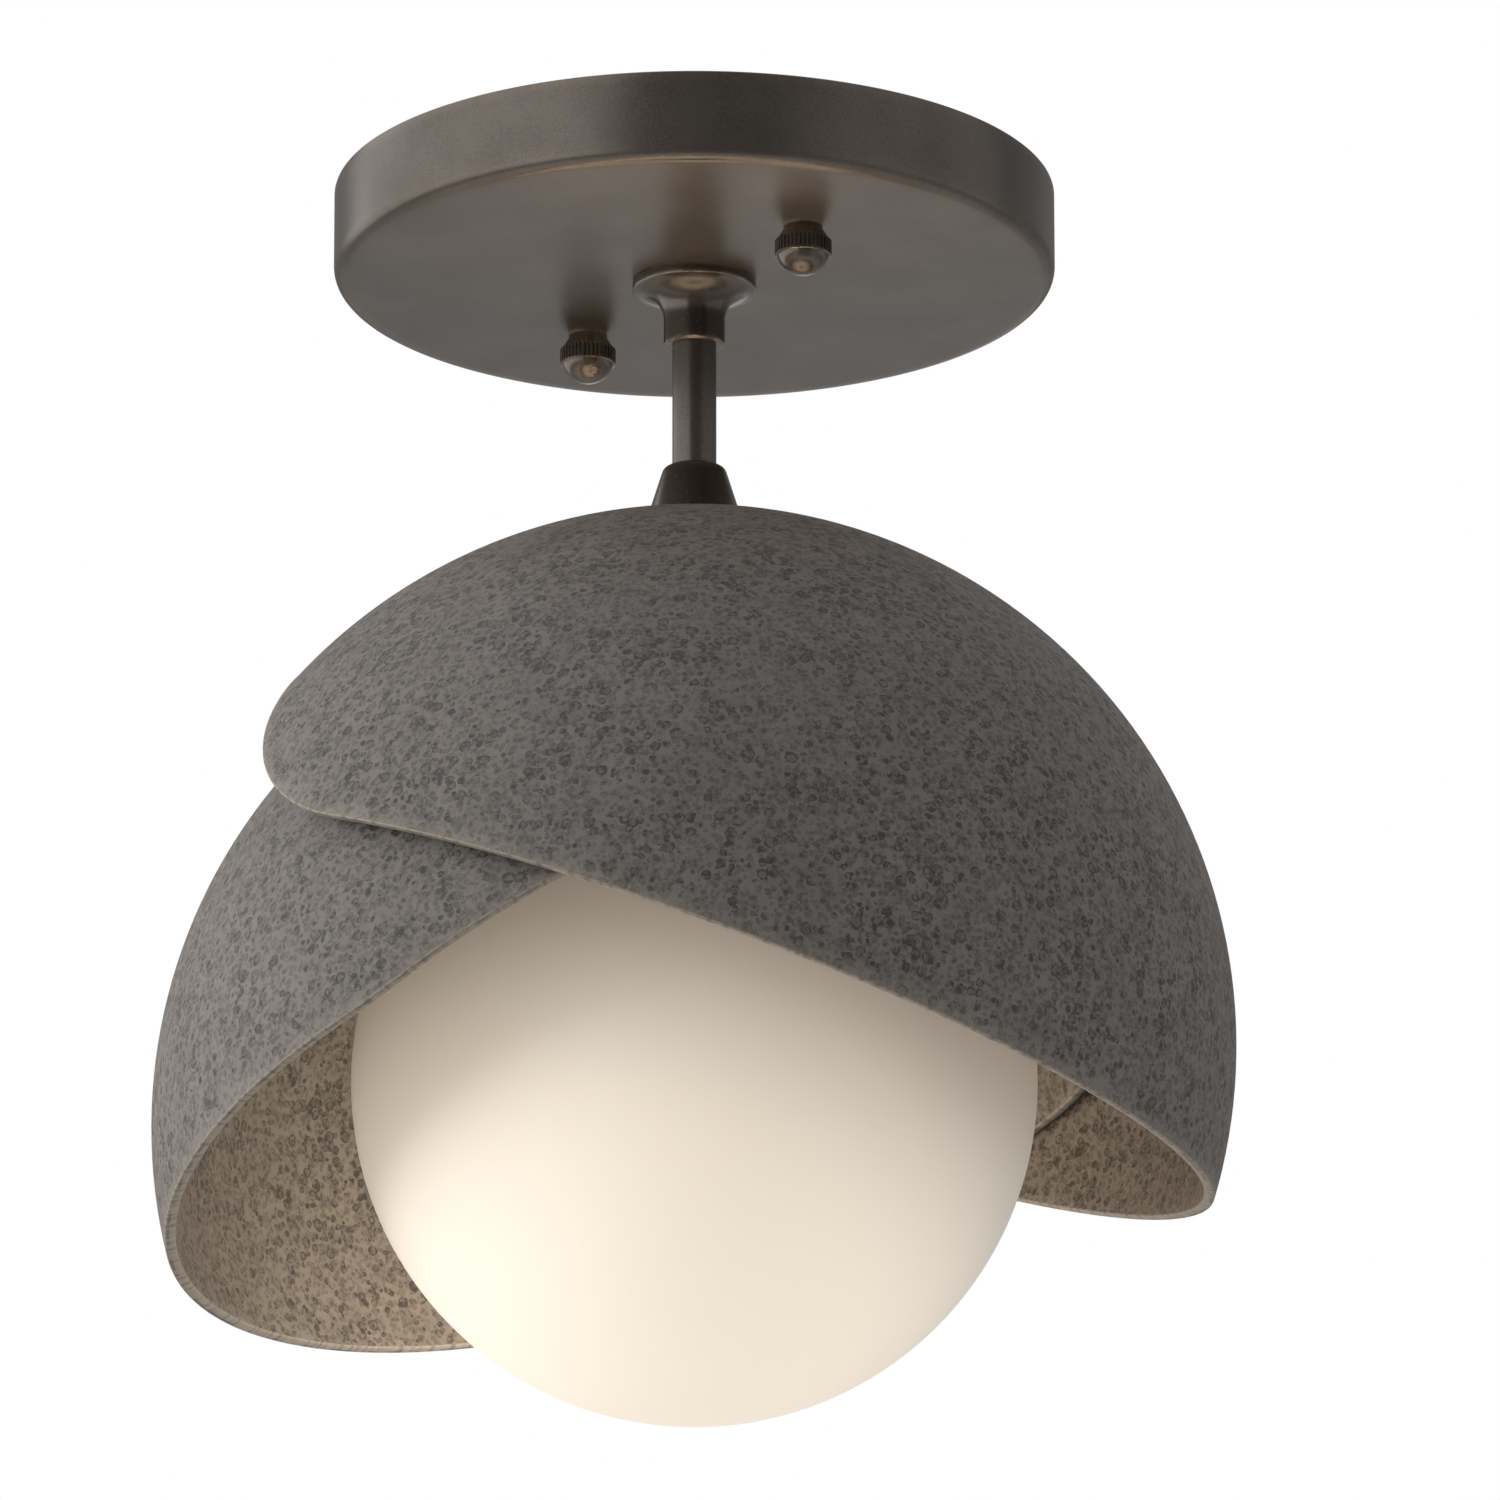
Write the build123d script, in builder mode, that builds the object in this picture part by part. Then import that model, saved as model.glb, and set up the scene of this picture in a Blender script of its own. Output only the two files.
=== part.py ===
from build123d import *
import math
import os

os.makedirs("parts", exist_ok=True)

# Semi flush ceiling light with two overlapping dome shades round a glass globe.
# Millimetres, +Z up. The origin is on the ceiling, at the centre of the canopy's top rim,
# and everything hangs below it. Angles are about +Z, from +X.

# ---- driving dimensions ----

canopy_radius = 64.75
canopy_depth = 16.3
canopy_wall = 1.2
canopy_edge_radius = 2.4

plate_radius = 52.0
plate_thickness = 1.6
plate_wire_hole_radius = 14.0
slot_width = 4.8
slot_length = 14.4
slot_spacing = 79.4  # one slot takes box screws 69.9 or 88.9 mm apart

stud_spacing = 69.85
stud_angle = -56.4
stud_radius = 2.05
stud_drop = 6.4  # how far the studs stand below the canopy
stud_nut_flats = 8.7
stud_nut_height = 3.2

collar_flange_radius = 11.1
collar_flange_thickness = 1.9
collar_neck_radius = 5.5
collar_length = 12.4

stem_radius = 3.95
stem_bore_radius = 3.0
nipple_radius = 4.8
nipple_bore_radius = 3.3
lock_nut_flats = 14.3
lock_nut_height = 4.0
spacer_radius = 7.0

cup_top = -51.7
cup_top_radius = 5.45
cup_base_radius = 9.3

shade_radius_outer = 95.6
shade_radius_inner = 94.4
shade_wall = 2.0
shade_centre_outer = -159.3
shade_centre_inner = -174.2
shade_shift_inner = 1.3  # how far its ball's centre is off the stem, towards its low side
shade_angle_outer = -17.3  # the direction in which each shade hangs lowest
shade_angle_inner = 156.9
seat_radius = 9.0
seat_hole_radius = 5.1

# the rim seen square to a shade's low direction: a slanted line, then a large corner
# curve, then a straight edge up the high side; on one side of the inner shade the line
# bends up at a gentle knee
rim_slope_outer = 21.05  # degrees
rim_slope_inner = 19.6
rim_low_reach = 94.0
rim_low_height_outer = -30.1  # from the ball's centre, where the line is rim_low_reach out
rim_low_height_inner = -25.9
rim_back_reach = -61.2
rim_corner_radius = 34.0
rim_knee_reach = 20.0
rim_knee_radius = 100.0
rim_knee_lift_inner = 14.9  # how much higher the bent line ends

globe_radius = 60.5
globe_centre = -166.3
globe_wall = 2.6
neck_radius = 20.9
bead_radius = 22.3

holder_radius = 24.6
holder_wall = 1.2
holder_depth = 15.0

pin_spacing = 9.0
pin_radius = 0.4
socket_length = 18.0
lamp_radius = 7.2
lamp_tip = -163.0

wire_radius = 0.9
wire_offset = 1.4
ground_screw_x = -1.0
ground_screw_y = 22.0
ground_screw_radius = 2.3

# gaps on the radius, between a piece and the hole it sits in
thread_gap = 0.05
washer_gap = 0.1
bracket_gap = 0.2
centre_gap = 0.3
stud_hole_gap = 0.45

# ---- heights worked out from them ----

canopy_floor = -canopy_depth
canopy_inside = canopy_floor + canopy_wall
collar_bottom = canopy_floor - collar_length


def sphere_height(centre, radius, reach):
    """Height of a sphere's upper half at a distance from the axis."""
    return centre + math.sqrt(radius**2 - reach**2)


seat_top_outer = sphere_height(shade_centre_outer, shade_radius_outer, seat_radius)
seat_under_outer = sphere_height(shade_centre_outer, shade_radius_outer - shade_wall, seat_radius)
seat_top_inner = sphere_height(shade_centre_inner, shade_radius_inner, seat_radius)
seat_under_inner = sphere_height(shade_centre_inner, shade_radius_inner - shade_wall, seat_radius)

washer_thickness = 1.0
holder_standoff = 3.2  # keeps the holder's shoulder clear of the inner shade
holder_top = seat_under_inner - washer_thickness - holder_standoff
holder_inside = holder_top - holder_wall
neck_top = holder_inside - 3.0
nipple_bottom = holder_inside - 7.5
bracket_thickness = 1.2
bracket_underside = holder_inside - bracket_thickness
socket_top = nipple_bottom - 5.5
socket_bottom = socket_top - socket_length

stud_x = stud_spacing / 2 * math.cos(math.radians(stud_angle))
stud_y = stud_spacing / 2 * math.sin(math.radians(stud_angle))
stud_places = [(stud_x, stud_y), (-stud_x, -stud_y)]


def ring(outside, inside, low, high):
    """A washer, tube or sleeve about the Z axis."""
    with BuildPart() as piece:
        with BuildSketch(Plane.XY.offset(low)):
            Circle(outside)
            Circle(inside, mode=Mode.SUBTRACT)
        extrude(amount=high - low)
    return piece


def hex_nut(across_flats, hole, low, high, places):
    """Hexagon nuts, one at each place."""
    corner_radius = across_flats / math.sqrt(3)
    with BuildPart() as piece:
        with BuildSketch(Plane.XY.offset(low)):
            with Locations(*places):
                RegularPolygon(corner_radius, 6)
                Circle(hole, mode=Mode.SUBTRACT)
        extrude(amount=high - low)
    return piece


# ---- mounting plate, screwed to the ceiling box ----

with BuildPart() as mounting_plate:
    with BuildSketch(Plane.XY.offset(-plate_thickness)):
        Circle(plate_radius)
        Circle(plate_wire_hole_radius, mode=Mode.SUBTRACT)
        with Locations((slot_spacing / 2, 0), (-slot_spacing / 2, 0)):
            SlotOverall(slot_length, slot_width, mode=Mode.SUBTRACT)
        with Locations(*stud_places):
            Circle(stud_radius + thread_gap, mode=Mode.SUBTRACT)
        with Locations((ground_screw_x, ground_screw_y)):
            Circle(ground_screw_radius + washer_gap, mode=Mode.SUBTRACT)
    extrude(amount=plate_thickness)
mounting_plate.part.label = "mounting_plate"
export_step(mounting_plate.part, "parts/mounting_plate.step")

stud_bottom = canopy_floor - stud_drop
with BuildPart() as canopy_studs:
    with BuildSketch(Plane.XY.offset(stud_bottom)):
        with Locations(*stud_places):
            Circle(stud_radius)
    extrude(amount=-stud_bottom)
canopy_studs.part.label = "canopy_studs"
export_step(canopy_studs.part, "parts/canopy_studs.step")

stud_nut_bottom = -plate_thickness - stud_nut_height
stud_nut_hole = stud_radius + thread_gap
stud_lock_nuts = hex_nut(stud_nut_flats, stud_nut_hole, stud_nut_bottom, -plate_thickness, stud_places)
stud_lock_nuts.part.label = "stud_lock_nuts"
export_step(stud_lock_nuts.part, "parts/stud_lock_nuts.step")

# ---- canopy: a spun pan with a rolled lower edge ----

with BuildPart() as canopy:
    with BuildSketch(Plane.XY.offset(canopy_floor)):
        Circle(canopy_radius)
    extrude(amount=canopy_depth)
    lower_edge = canopy.edges().group_by(Axis.Z)[0]
    fillet(lower_edge, canopy_edge_radius)
    with BuildSketch(Plane.XY.offset(canopy_inside)):
        Circle(canopy_radius - canopy_wall)
    extrude(amount=canopy_depth, mode=Mode.SUBTRACT)
    with BuildSketch(Plane.XY.offset(canopy_floor)):
        Circle(nipple_radius + centre_gap)
        with Locations(*stud_places):
            Circle(stud_radius + stud_hole_gap)
    extrude(amount=canopy_wall, mode=Mode.SUBTRACT)
canopy.part.label = "canopy"
export_step(canopy.part, "parts/canopy.step")

# ---- ball cap nuts that hold the canopy up ----

nut_neck_radius = 3.5
nut_barrel_radius = 4.95
nut_dome_radius = 4.65
nut_neck_bottom = canopy_floor - 0.4
nut_barrel_top = canopy_floor - 2.6
nut_barrel_bottom = canopy_floor - 5.3
nut_bottom = canopy_floor - 9.0
nut_bore_end = canopy_floor - 6.8


def cap_nut(x, y):
    """Neck, flare, short barrel and a low dome, bored for the stud from above."""
    dome_shoulder = nut_barrel_bottom - 0.3
    dome_height = dome_shoulder - nut_bottom
    dome_curve = (nut_dome_radius**2 + dome_height**2) / (2 * dome_height)
    turned_plane = Plane(origin=(x, y, 0), x_dir=(1, 0, 0), z_dir=(0, -1, 0))
    with BuildPart() as piece:
        with BuildSketch(turned_plane):
            with BuildLine():
                Polyline(
                    (0, nut_bottom),
                    (0, canopy_floor),
                    (nut_neck_radius, canopy_floor),
                    (nut_neck_radius, nut_neck_bottom),
                    (nut_barrel_radius, nut_barrel_top),
                    (nut_barrel_radius, nut_barrel_bottom),
                    (nut_dome_radius, dome_shoulder),
                )
                RadiusArc((nut_dome_radius, dome_shoulder), (0, nut_bottom), dome_curve)
            make_face()
        revolve(axis=Axis((x, y, 0), (0, 0, 1)))
        with BuildSketch(Plane(origin=(x, y, nut_bore_end))):
            Circle(stud_radius + thread_gap)
        extrude(amount=canopy_floor - nut_bore_end, mode=Mode.SUBTRACT)
    return piece


cap_nut_near = cap_nut(stud_x, stud_y)
cap_nut_near.part.label = "cap_nut_near"
export_step(cap_nut_near.part, "parts/cap_nut_near.step")

cap_nut_far = cap_nut(-stud_x, -stud_y)
cap_nut_far.part.label = "cap_nut_far"
export_step(cap_nut_far.part, "parts/cap_nut_far.step")

# ---- centre fixing: nipple, star washer and lock nut inside the canopy ----

nipple_top = -6.0
stem_top = canopy_floor - 7.2  # inside the collar
upper_nipple_bottom = stem_top + 0.2
upper_nipple = ring(nipple_radius, nipple_bore_radius, upper_nipple_bottom, nipple_top)
upper_nipple.part.label = "upper_nipple"
export_step(upper_nipple.part, "parts/upper_nipple.step")

star_washer_thickness = 0.8
star_washer_radius = 8.0
star_notch_radius = 0.9
star_notches = 12
star_washer_top = canopy_inside + star_washer_thickness
with BuildPart() as upper_star_washer:
    with BuildSketch(Plane.XY.offset(canopy_inside)):
        Circle(star_washer_radius)
        Circle(nipple_radius + washer_gap, mode=Mode.SUBTRACT)
        with PolarLocations(star_washer_radius, star_notches):
            Circle(star_notch_radius, mode=Mode.SUBTRACT)
    extrude(amount=star_washer_thickness)
upper_star_washer.part.label = "upper_star_washer"
export_step(upper_star_washer.part, "parts/upper_star_washer.step")

upper_nut_top = star_washer_top + lock_nut_height
lock_nut_hole = nipple_radius + thread_gap
upper_lock_nut = hex_nut(lock_nut_flats, lock_nut_hole, star_washer_top, upper_nut_top, [(0, 0)])
upper_lock_nut.part.label = "upper_lock_nut"
export_step(upper_lock_nut.part, "parts/upper_lock_nut.step")

# ---- bell collar under the canopy ----

flange_bottom = canopy_floor - collar_flange_thickness
cove_radius = collar_flange_radius - collar_neck_radius
collar_chamfer = 0.4
flange_chamfer = 0.5
with BuildPart() as collar:
    with BuildSketch(Plane.XZ):
        with BuildLine():
            Polyline(
                (collar_neck_radius, flange_bottom - cove_radius),
                (collar_neck_radius, collar_bottom + collar_chamfer),
                (collar_neck_radius - collar_chamfer, collar_bottom),
                (stem_radius + thread_gap, collar_bottom),
                (stem_radius + thread_gap, stem_top),
                (nipple_radius + thread_gap, stem_top),
                (nipple_radius + thread_gap, canopy_floor),
                (collar_flange_radius - flange_chamfer, canopy_floor),
                (collar_flange_radius, canopy_floor - flange_chamfer),
                (collar_flange_radius, flange_bottom),
            )
            CenterArc((collar_flange_radius, flange_bottom - cove_radius), cove_radius, 90, 90)
        make_face()
    revolve(axis=Axis.Z)
collar.part.label = "collar"
export_step(collar.part, "parts/collar.step")

# ---- stem tube ----

stem_bottom = cup_top - 5.5
stem = ring(stem_radius, stem_bore_radius, stem_bottom, stem_top)
stem.part.label = "stem"
export_step(stem.part, "parts/stem.step")

# ---- turned cup that sits on the outer shade ----

cup_web_bottom = stem_bottom - 1.0
cup_shoulder_radius = 1.3
with BuildPart() as shade_cup:
    with BuildSketch(Plane.XZ):
        with BuildLine():
            Polyline(
                (stem_radius + thread_gap, cup_top),
                (cup_top_radius, cup_top),
                (cup_base_radius, seat_top_outer),
                (nipple_radius + thread_gap, seat_top_outer),
                (nipple_radius + thread_gap, cup_web_bottom),
                (stem_bore_radius, cup_web_bottom),
                (stem_bore_radius, stem_bottom),
                (stem_radius + thread_gap, stem_bottom),
                close=True,
            )
        make_face()
    revolve(axis=Axis.Z)
    top_circles = shade_cup.edges().filter_by(GeomType.CIRCLE).group_by(Axis.Z)[-1]
    fillet(top_circles.sort_by(SortBy.RADIUS)[-1], cup_shoulder_radius)
shade_cup.part.label = "shade_cup"
export_step(shade_cup.part, "parts/shade_cup.step")

# ---- the two shades: ball shells cut to a swept rim, set nearly back to back ----

cap_cut_margin = 3.0
cap_cut_height = 5.0
far_margin = 10.0  # how far the rim's cutting shape stands past the sphere


def rim_outline(radius, slope, low_height, knee_lift):
    """A rim's side outline from its top to past its low end, and the radius of each corner."""
    rise = math.tan(math.radians(slope))
    level = low_height + rise * rim_low_reach
    far_reach = radius + far_margin
    top = (rim_back_reach, far_reach)
    corner = (rim_back_reach, level - rise * rim_back_reach + knee_lift)
    knee = (rim_knee_reach, level - rise * rim_knee_reach)
    low_end = (far_reach, level - rise * far_reach)
    if knee_lift == 0:
        return [top, corner, low_end], [rim_corner_radius]
    return [top, corner, knee, low_end], [rim_corner_radius, rim_knee_radius]


def above_rim(side_view, outline, depth):
    """The space above a rim, on one side of the side view."""
    points, radii = outline
    outside_corner = (points[-1][0], points[0][1])
    with BuildPart() as space:
        with BuildSketch(side_view):
            with BuildLine():
                FilletPolyline(*points, radius=radii)
                Polyline(points[-1], outside_corner, points[0])
            make_face()
        extrude(amount=depth)
    return space


def shade(centre, shift, radius, low_angle, slope, low_height, knee_lift, seat_top, seat_under):
    """A dome with a flat pierced seat at its top and the slanted rim below."""
    low_x = math.cos(math.radians(low_angle))
    low_y = math.sin(math.radians(low_angle))
    ball_x = shift * low_x
    ball_y = shift * low_y
    side_view = Plane(origin=(ball_x, ball_y, centre), x_dir=(low_x, low_y, 0), z_dir=(low_y, -low_x, 0))
    depth = radius + far_margin
    plain_side = above_rim(side_view, rim_outline(radius, slope, low_height, 0), depth)
    knee_side = above_rim(side_view, rim_outline(radius, slope, low_height, knee_lift), -depth)
    with BuildPart() as kept_space:
        add(plain_side.part)
        add(knee_side.part)
    with BuildPart() as piece:
        with Locations((ball_x, ball_y, centre)):
            Sphere(radius)
            Sphere(radius - shade_wall, mode=Mode.SUBTRACT)
        with BuildSketch(Plane(origin=(ball_x, ball_y, seat_under))):
            Circle(seat_radius)
        extrude(amount=seat_top - seat_under)
        with BuildSketch(Plane.XY.offset(seat_top)):
            Circle(seat_radius + cap_cut_margin)
        extrude(amount=cap_cut_height, mode=Mode.SUBTRACT)
        with BuildSketch(Plane.XY.offset(seat_under)):
            Circle(seat_hole_radius)
        extrude(amount=seat_top - seat_under, mode=Mode.SUBTRACT)
        add(kept_space.part, mode=Mode.INTERSECT)
    return piece


outer_shade = shade(
    shade_centre_outer,
    0,
    shade_radius_outer,
    shade_angle_outer,
    rim_slope_outer,
    rim_low_height_outer,
    0,
    seat_top_outer,
    seat_under_outer,
)
outer_shade.part.label = "outer_shade"
export_step(outer_shade.part, "parts/outer_shade.step")

inner_shade = shade(
    shade_centre_inner,
    shade_shift_inner,
    shade_radius_inner,
    shade_angle_inner,
    rim_slope_inner,
    rim_low_height_inner,
    rim_knee_lift_inner,
    seat_top_inner,
    seat_under_inner,
)
inner_shade.part.label = "inner_shade"
export_step(inner_shade.part, "parts/inner_shade.step")

# ---- what clamps the shades: lower nipple, spacer, washer and lock nut ----

lower_nipple_top = cup_web_bottom - 0.1
lower_nipple = ring(nipple_radius, nipple_bore_radius, nipple_bottom, lower_nipple_top)
lower_nipple.part.label = "lower_nipple"
export_step(lower_nipple.part, "parts/lower_nipple.step")

shade_spacer = ring(spacer_radius, nipple_radius + washer_gap, seat_top_inner, seat_under_outer)
shade_spacer.part.label = "shade_spacer"
export_step(shade_spacer.part, "parts/shade_spacer.step")

shade_washer_radius = 7.6
shade_washer_bottom = holder_top + holder_standoff
shade_washer = ring(shade_washer_radius, nipple_radius + washer_gap, shade_washer_bottom, seat_under_inner)
shade_washer.part.label = "shade_washer"
export_step(shade_washer.part, "parts/shade_washer.step")

holder_spacer = ring(spacer_radius, nipple_radius + washer_gap, holder_top, shade_washer_bottom)
holder_spacer.part.label = "holder_spacer"
export_step(holder_spacer.part, "parts/holder_spacer.step")

lower_nut_bottom = bracket_underside - lock_nut_height
lower_lock_nut = hex_nut(lock_nut_flats, lock_nut_hole, lower_nut_bottom, bracket_underside, [(0, 0)])
lower_lock_nut.part.label = "lower_lock_nut"
export_step(lower_lock_nut.part, "parts/lower_lock_nut.step")

# ---- globe holder: a shallow cap whose rolled bead carries the glass ----

holder_bottom = holder_top - holder_depth
holder_bead_radius = neck_radius + 0.6
holder_bead_height = 2.0
holder_corner = 1.5
with BuildPart() as globe_holder:
    with BuildSketch(Plane.XZ):
        with BuildLine():
            Polyline(
                (nipple_radius + centre_gap, holder_top),
                (holder_radius - holder_corner, holder_top),
                (holder_radius, holder_top - holder_corner),
                (holder_radius, holder_bottom),
                (holder_bead_radius, holder_bottom),
                (holder_bead_radius, holder_bottom + holder_bead_height),
                (holder_radius - holder_wall, holder_bottom + holder_bead_height),
                (holder_radius - holder_wall, holder_inside),
                (nipple_radius + centre_gap, holder_inside),
                close=True,
            )
        make_face()
    revolve(axis=Axis.Z)
globe_holder.part.label = "globe_holder"
export_step(globe_holder.part, "parts/globe_holder.step")

gasket_outside = 22.0
gasket_inside = 17.6
gasket_bottom = neck_top + 0.4
neck_gasket = ring(gasket_outside, gasket_inside, gasket_bottom, holder_inside)
neck_gasket.part.label = "neck_gasket"
export_step(neck_gasket.part, "parts/neck_gasket.step")

# ---- blown glass globe with a beaded neck ----

bead_bottom = holder_bottom + holder_bead_height + 0.5
bead_height = 2.6
bead_edge_radius = 0.7
neck_fillet_radius = 3.0
neck_foot = sphere_height(globe_centre, globe_radius, neck_radius)
with BuildPart() as globe:
    with Locations((0, 0, globe_centre)):
        Sphere(globe_radius)
    with BuildSketch(Plane.XY.offset(globe_centre)):
        Circle(neck_radius)
    extrude(amount=neck_top - globe_centre)
    globe_circles = globe.edges().filter_by(GeomType.CIRCLE)
    neck_joint = globe_circles.filter_by_position(Axis.Z, neck_foot - 1, neck_foot + 1)
    fillet(neck_joint, neck_fillet_radius)
    with BuildSketch(Plane.XY.offset(bead_bottom)):
        Circle(bead_radius)
    extrude(amount=bead_height)
    bead_edges = globe.edges().filter_by(GeomType.CIRCLE).filter_by_position(Axis.Z, bead_bottom, neck_top)
    fillet(bead_edges.filter_by(lambda edge: edge.radius > neck_radius + 1), bead_edge_radius)
    with Locations((0, 0, globe_centre)):
        Sphere(globe_radius - globe_wall, mode=Mode.SUBTRACT)
    with BuildSketch(Plane.XY.offset(globe_centre)):
        Circle(neck_radius - globe_wall)
    extrude(amount=neck_top - globe_centre, mode=Mode.SUBTRACT)
globe.part.label = "globe"
export_step(globe.part, "parts/globe.step")

# ---- lamp socket on its bracket ----

bracket_width = 14.0
bracket_half_span = 12.2
bracket_foot = socket_top - 7.5
socket_screw_height = socket_top - 4.5
bracket_screw_hole = 1.6
with BuildPart() as socket_bracket:
    with BuildSketch(Plane.XZ):
        with BuildLine():
            Polyline(
                (-bracket_half_span, holder_inside),
                (bracket_half_span, holder_inside),
                (bracket_half_span, bracket_foot),
                (bracket_half_span - bracket_thickness, bracket_foot),
                (bracket_half_span - bracket_thickness, bracket_underside),
                (-bracket_half_span + bracket_thickness, bracket_underside),
                (-bracket_half_span + bracket_thickness, bracket_foot),
                (-bracket_half_span, bracket_foot),
                close=True,
            )
        make_face()
    extrude(amount=bracket_width / 2, both=True)
    with BuildSketch(Plane.XY.offset(bracket_underside)):
        Circle(nipple_radius + bracket_gap)
    extrude(amount=bracket_thickness, mode=Mode.SUBTRACT)
    with BuildSketch(Plane.YZ.offset(-bracket_half_span)):
        with Locations((0, socket_screw_height)):
            Circle(bracket_screw_hole)
    extrude(amount=2 * bracket_half_span, mode=Mode.SUBTRACT)
socket_bracket.part.label = "socket_bracket"
export_step(socket_bracket.part, "parts/socket_bracket.step")

socket_half_width = bracket_half_span - bracket_thickness
socket_depth = 11.0
socket_corner = 2.5
socket_edge_radius = 0.8
pin_hole_radius = 1.6
socket_screw_hole = 1.35
screw_hole_depth = 3.5
contact_top = socket_bottom + 10.4
with BuildPart() as lamp_socket:
    with BuildSketch(Plane.XY.offset(socket_bottom)):
        RectangleRounded(2 * socket_half_width, socket_depth, socket_corner)
    extrude(amount=socket_length)
    lower_rim = lamp_socket.edges().group_by(Axis.Z)[0]
    fillet(lower_rim, socket_edge_radius)
    with BuildSketch(Plane.XY.offset(socket_bottom)):
        with Locations((pin_spacing / 2, 0), (-pin_spacing / 2, 0)):
            Circle(pin_hole_radius)
    extrude(amount=contact_top - socket_bottom, mode=Mode.SUBTRACT)
    with BuildSketch(Plane.YZ.offset(-socket_half_width)):
        with Locations((0, socket_screw_height)):
            Circle(socket_screw_hole)
    extrude(amount=screw_hole_depth, mode=Mode.SUBTRACT)
    with BuildSketch(Plane.YZ.offset(socket_half_width - screw_hole_depth)):
        with Locations((0, socket_screw_height)):
            Circle(socket_screw_hole)
    extrude(amount=screw_hole_depth, mode=Mode.SUBTRACT)
lamp_socket.part.label = "lamp_socket"
export_step(lamp_socket.part, "parts/lamp_socket.step")

contact_radius = 1.55
contact_bore_radius = pin_radius + 0.06
contact_recess = 0.6
contact_length = contact_top - socket_bottom - 0.7
with BuildPart() as socket_contacts:
    with BuildSketch(Plane.XY.offset(socket_bottom + contact_recess)):
        with Locations((pin_spacing / 2, 0), (-pin_spacing / 2, 0)):
            Circle(contact_radius)
            Circle(contact_bore_radius, mode=Mode.SUBTRACT)
    extrude(amount=contact_length)
socket_contacts.part.label = "socket_contacts"
export_step(socket_contacts.part, "parts/socket_contacts.step")

screw_head_thickness = 1.4
screw_head_radius = 2.4
screw_radius = 1.3
screw_length = 4.4
screw_slot_length = 5.0
screw_slot_width = 0.7
screw_slot_depth = 0.6
with BuildPart() as socket_screws:
    for side in (-1, 1):
        head_plane = Plane(
            origin=(side * bracket_half_span, 0, socket_screw_height),
            x_dir=(0, 1, 0),
            z_dir=(side, 0, 0),
        )
        with BuildSketch(head_plane):
            Circle(screw_head_radius)
        extrude(amount=screw_head_thickness)
        with BuildSketch(head_plane):
            Circle(screw_radius)
        extrude(amount=-screw_length)
        with BuildSketch(head_plane.offset(screw_head_thickness)):
            Rectangle(screw_slot_length, screw_slot_width)
        extrude(amount=-screw_slot_depth, mode=Mode.SUBTRACT)
socket_screws.part.label = "socket_screws"
export_step(socket_screws.part, "parts/socket_screws.step")

# ---- two-pin lamp ----

lamp_base_top = socket_bottom - 1.0
lamp_base_bottom = lamp_base_top - 9.0
pin_top = socket_bottom + 9.0
with BuildPart() as lamp_pins:
    with BuildSketch(Plane.XY.offset(lamp_base_top)):
        with Locations((pin_spacing / 2, 0), (-pin_spacing / 2, 0)):
            Circle(pin_radius)
    extrude(amount=pin_top - lamp_base_top)
lamp_pins.part.label = "lamp_pins"
export_step(lamp_pins.part, "parts/lamp_pins.step")

lamp_base_radius = lamp_radius + 0.3
lamp_base_edge_radius = 1.5
with BuildPart() as lamp_base:
    with BuildSketch(Plane.XY.offset(lamp_base_bottom)):
        Circle(lamp_base_radius)
    extrude(amount=lamp_base_top - lamp_base_bottom)
    fillet(lamp_base.edges().group_by(Axis.Z)[-1], lamp_base_edge_radius)
lamp_base.part.label = "lamp_base"
export_step(lamp_base.part, "parts/lamp_base.step")

lamp_wall = 0.9
tube_bottom = lamp_tip + lamp_radius
tube_length = lamp_base_bottom - tube_bottom
with BuildPart() as lamp_envelope:
    with BuildSketch(Plane.XY.offset(tube_bottom)):
        Circle(lamp_radius)
    extrude(amount=tube_length)
    with Locations((0, 0, tube_bottom)):
        Sphere(lamp_radius)
        Sphere(lamp_radius - lamp_wall, mode=Mode.SUBTRACT)
    with BuildSketch(Plane.XY.offset(tube_bottom)):
        Circle(lamp_radius - lamp_wall)
    extrude(amount=tube_length, mode=Mode.SUBTRACT)
lamp_envelope.part.label = "lamp_envelope"
export_step(lamp_envelope.part, "parts/lamp_envelope.step")

lamp_element_radius = 2.6
lamp_element_bottom = lamp_tip + 10.0
with BuildPart() as lamp_element:
    with BuildSketch(Plane.XY.offset(lamp_element_bottom)):
        Circle(lamp_element_radius)
    extrude(amount=lamp_base_bottom - lamp_element_bottom)
lamp_element.part.label = "lamp_element"
export_step(lamp_element.part, "parts/lamp_element.step")

# ---- wiring: leads up the stem, splices inside the canopy, green ground lead ----

lead_height = -4.3
splice_height = -9.6
splice_reach = 31.0
splice_length = 19.0
lead_turn_reach = 15.0
lead_drop_reach = 24.0
lead_bends = [3.2, 5.0, 5.0]


def lead(side, splice_angle):
    """A lead from the socket up the stem, over the nipple and out to its splice."""
    turn_x = math.cos(math.radians(splice_angle))
    turn_y = math.sin(math.radians(splice_angle))
    start = (side * wire_offset, 0, socket_top)
    with BuildPart() as piece:
        with BuildLine() as route:
            FilletPolyline(
                start,
                (side * wire_offset, 0, lead_height),
                (lead_turn_reach * turn_x, lead_turn_reach * turn_y, lead_height),
                (lead_drop_reach * turn_x, lead_drop_reach * turn_y, splice_height),
                (splice_reach * turn_x, splice_reach * turn_y, splice_height),
                radius=lead_bends,
            )
        with BuildSketch(Plane(origin=start, z_dir=(0, 0, 1))):
            Circle(wire_radius)
        sweep(path=route.line)
    return piece


live_splice_angle = 25
neutral_splice_angle = 205

live_lead = lead(1, live_splice_angle)
live_lead.part.label = "live_lead"
export_step(live_lead.part, "parts/live_lead.step")

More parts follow.
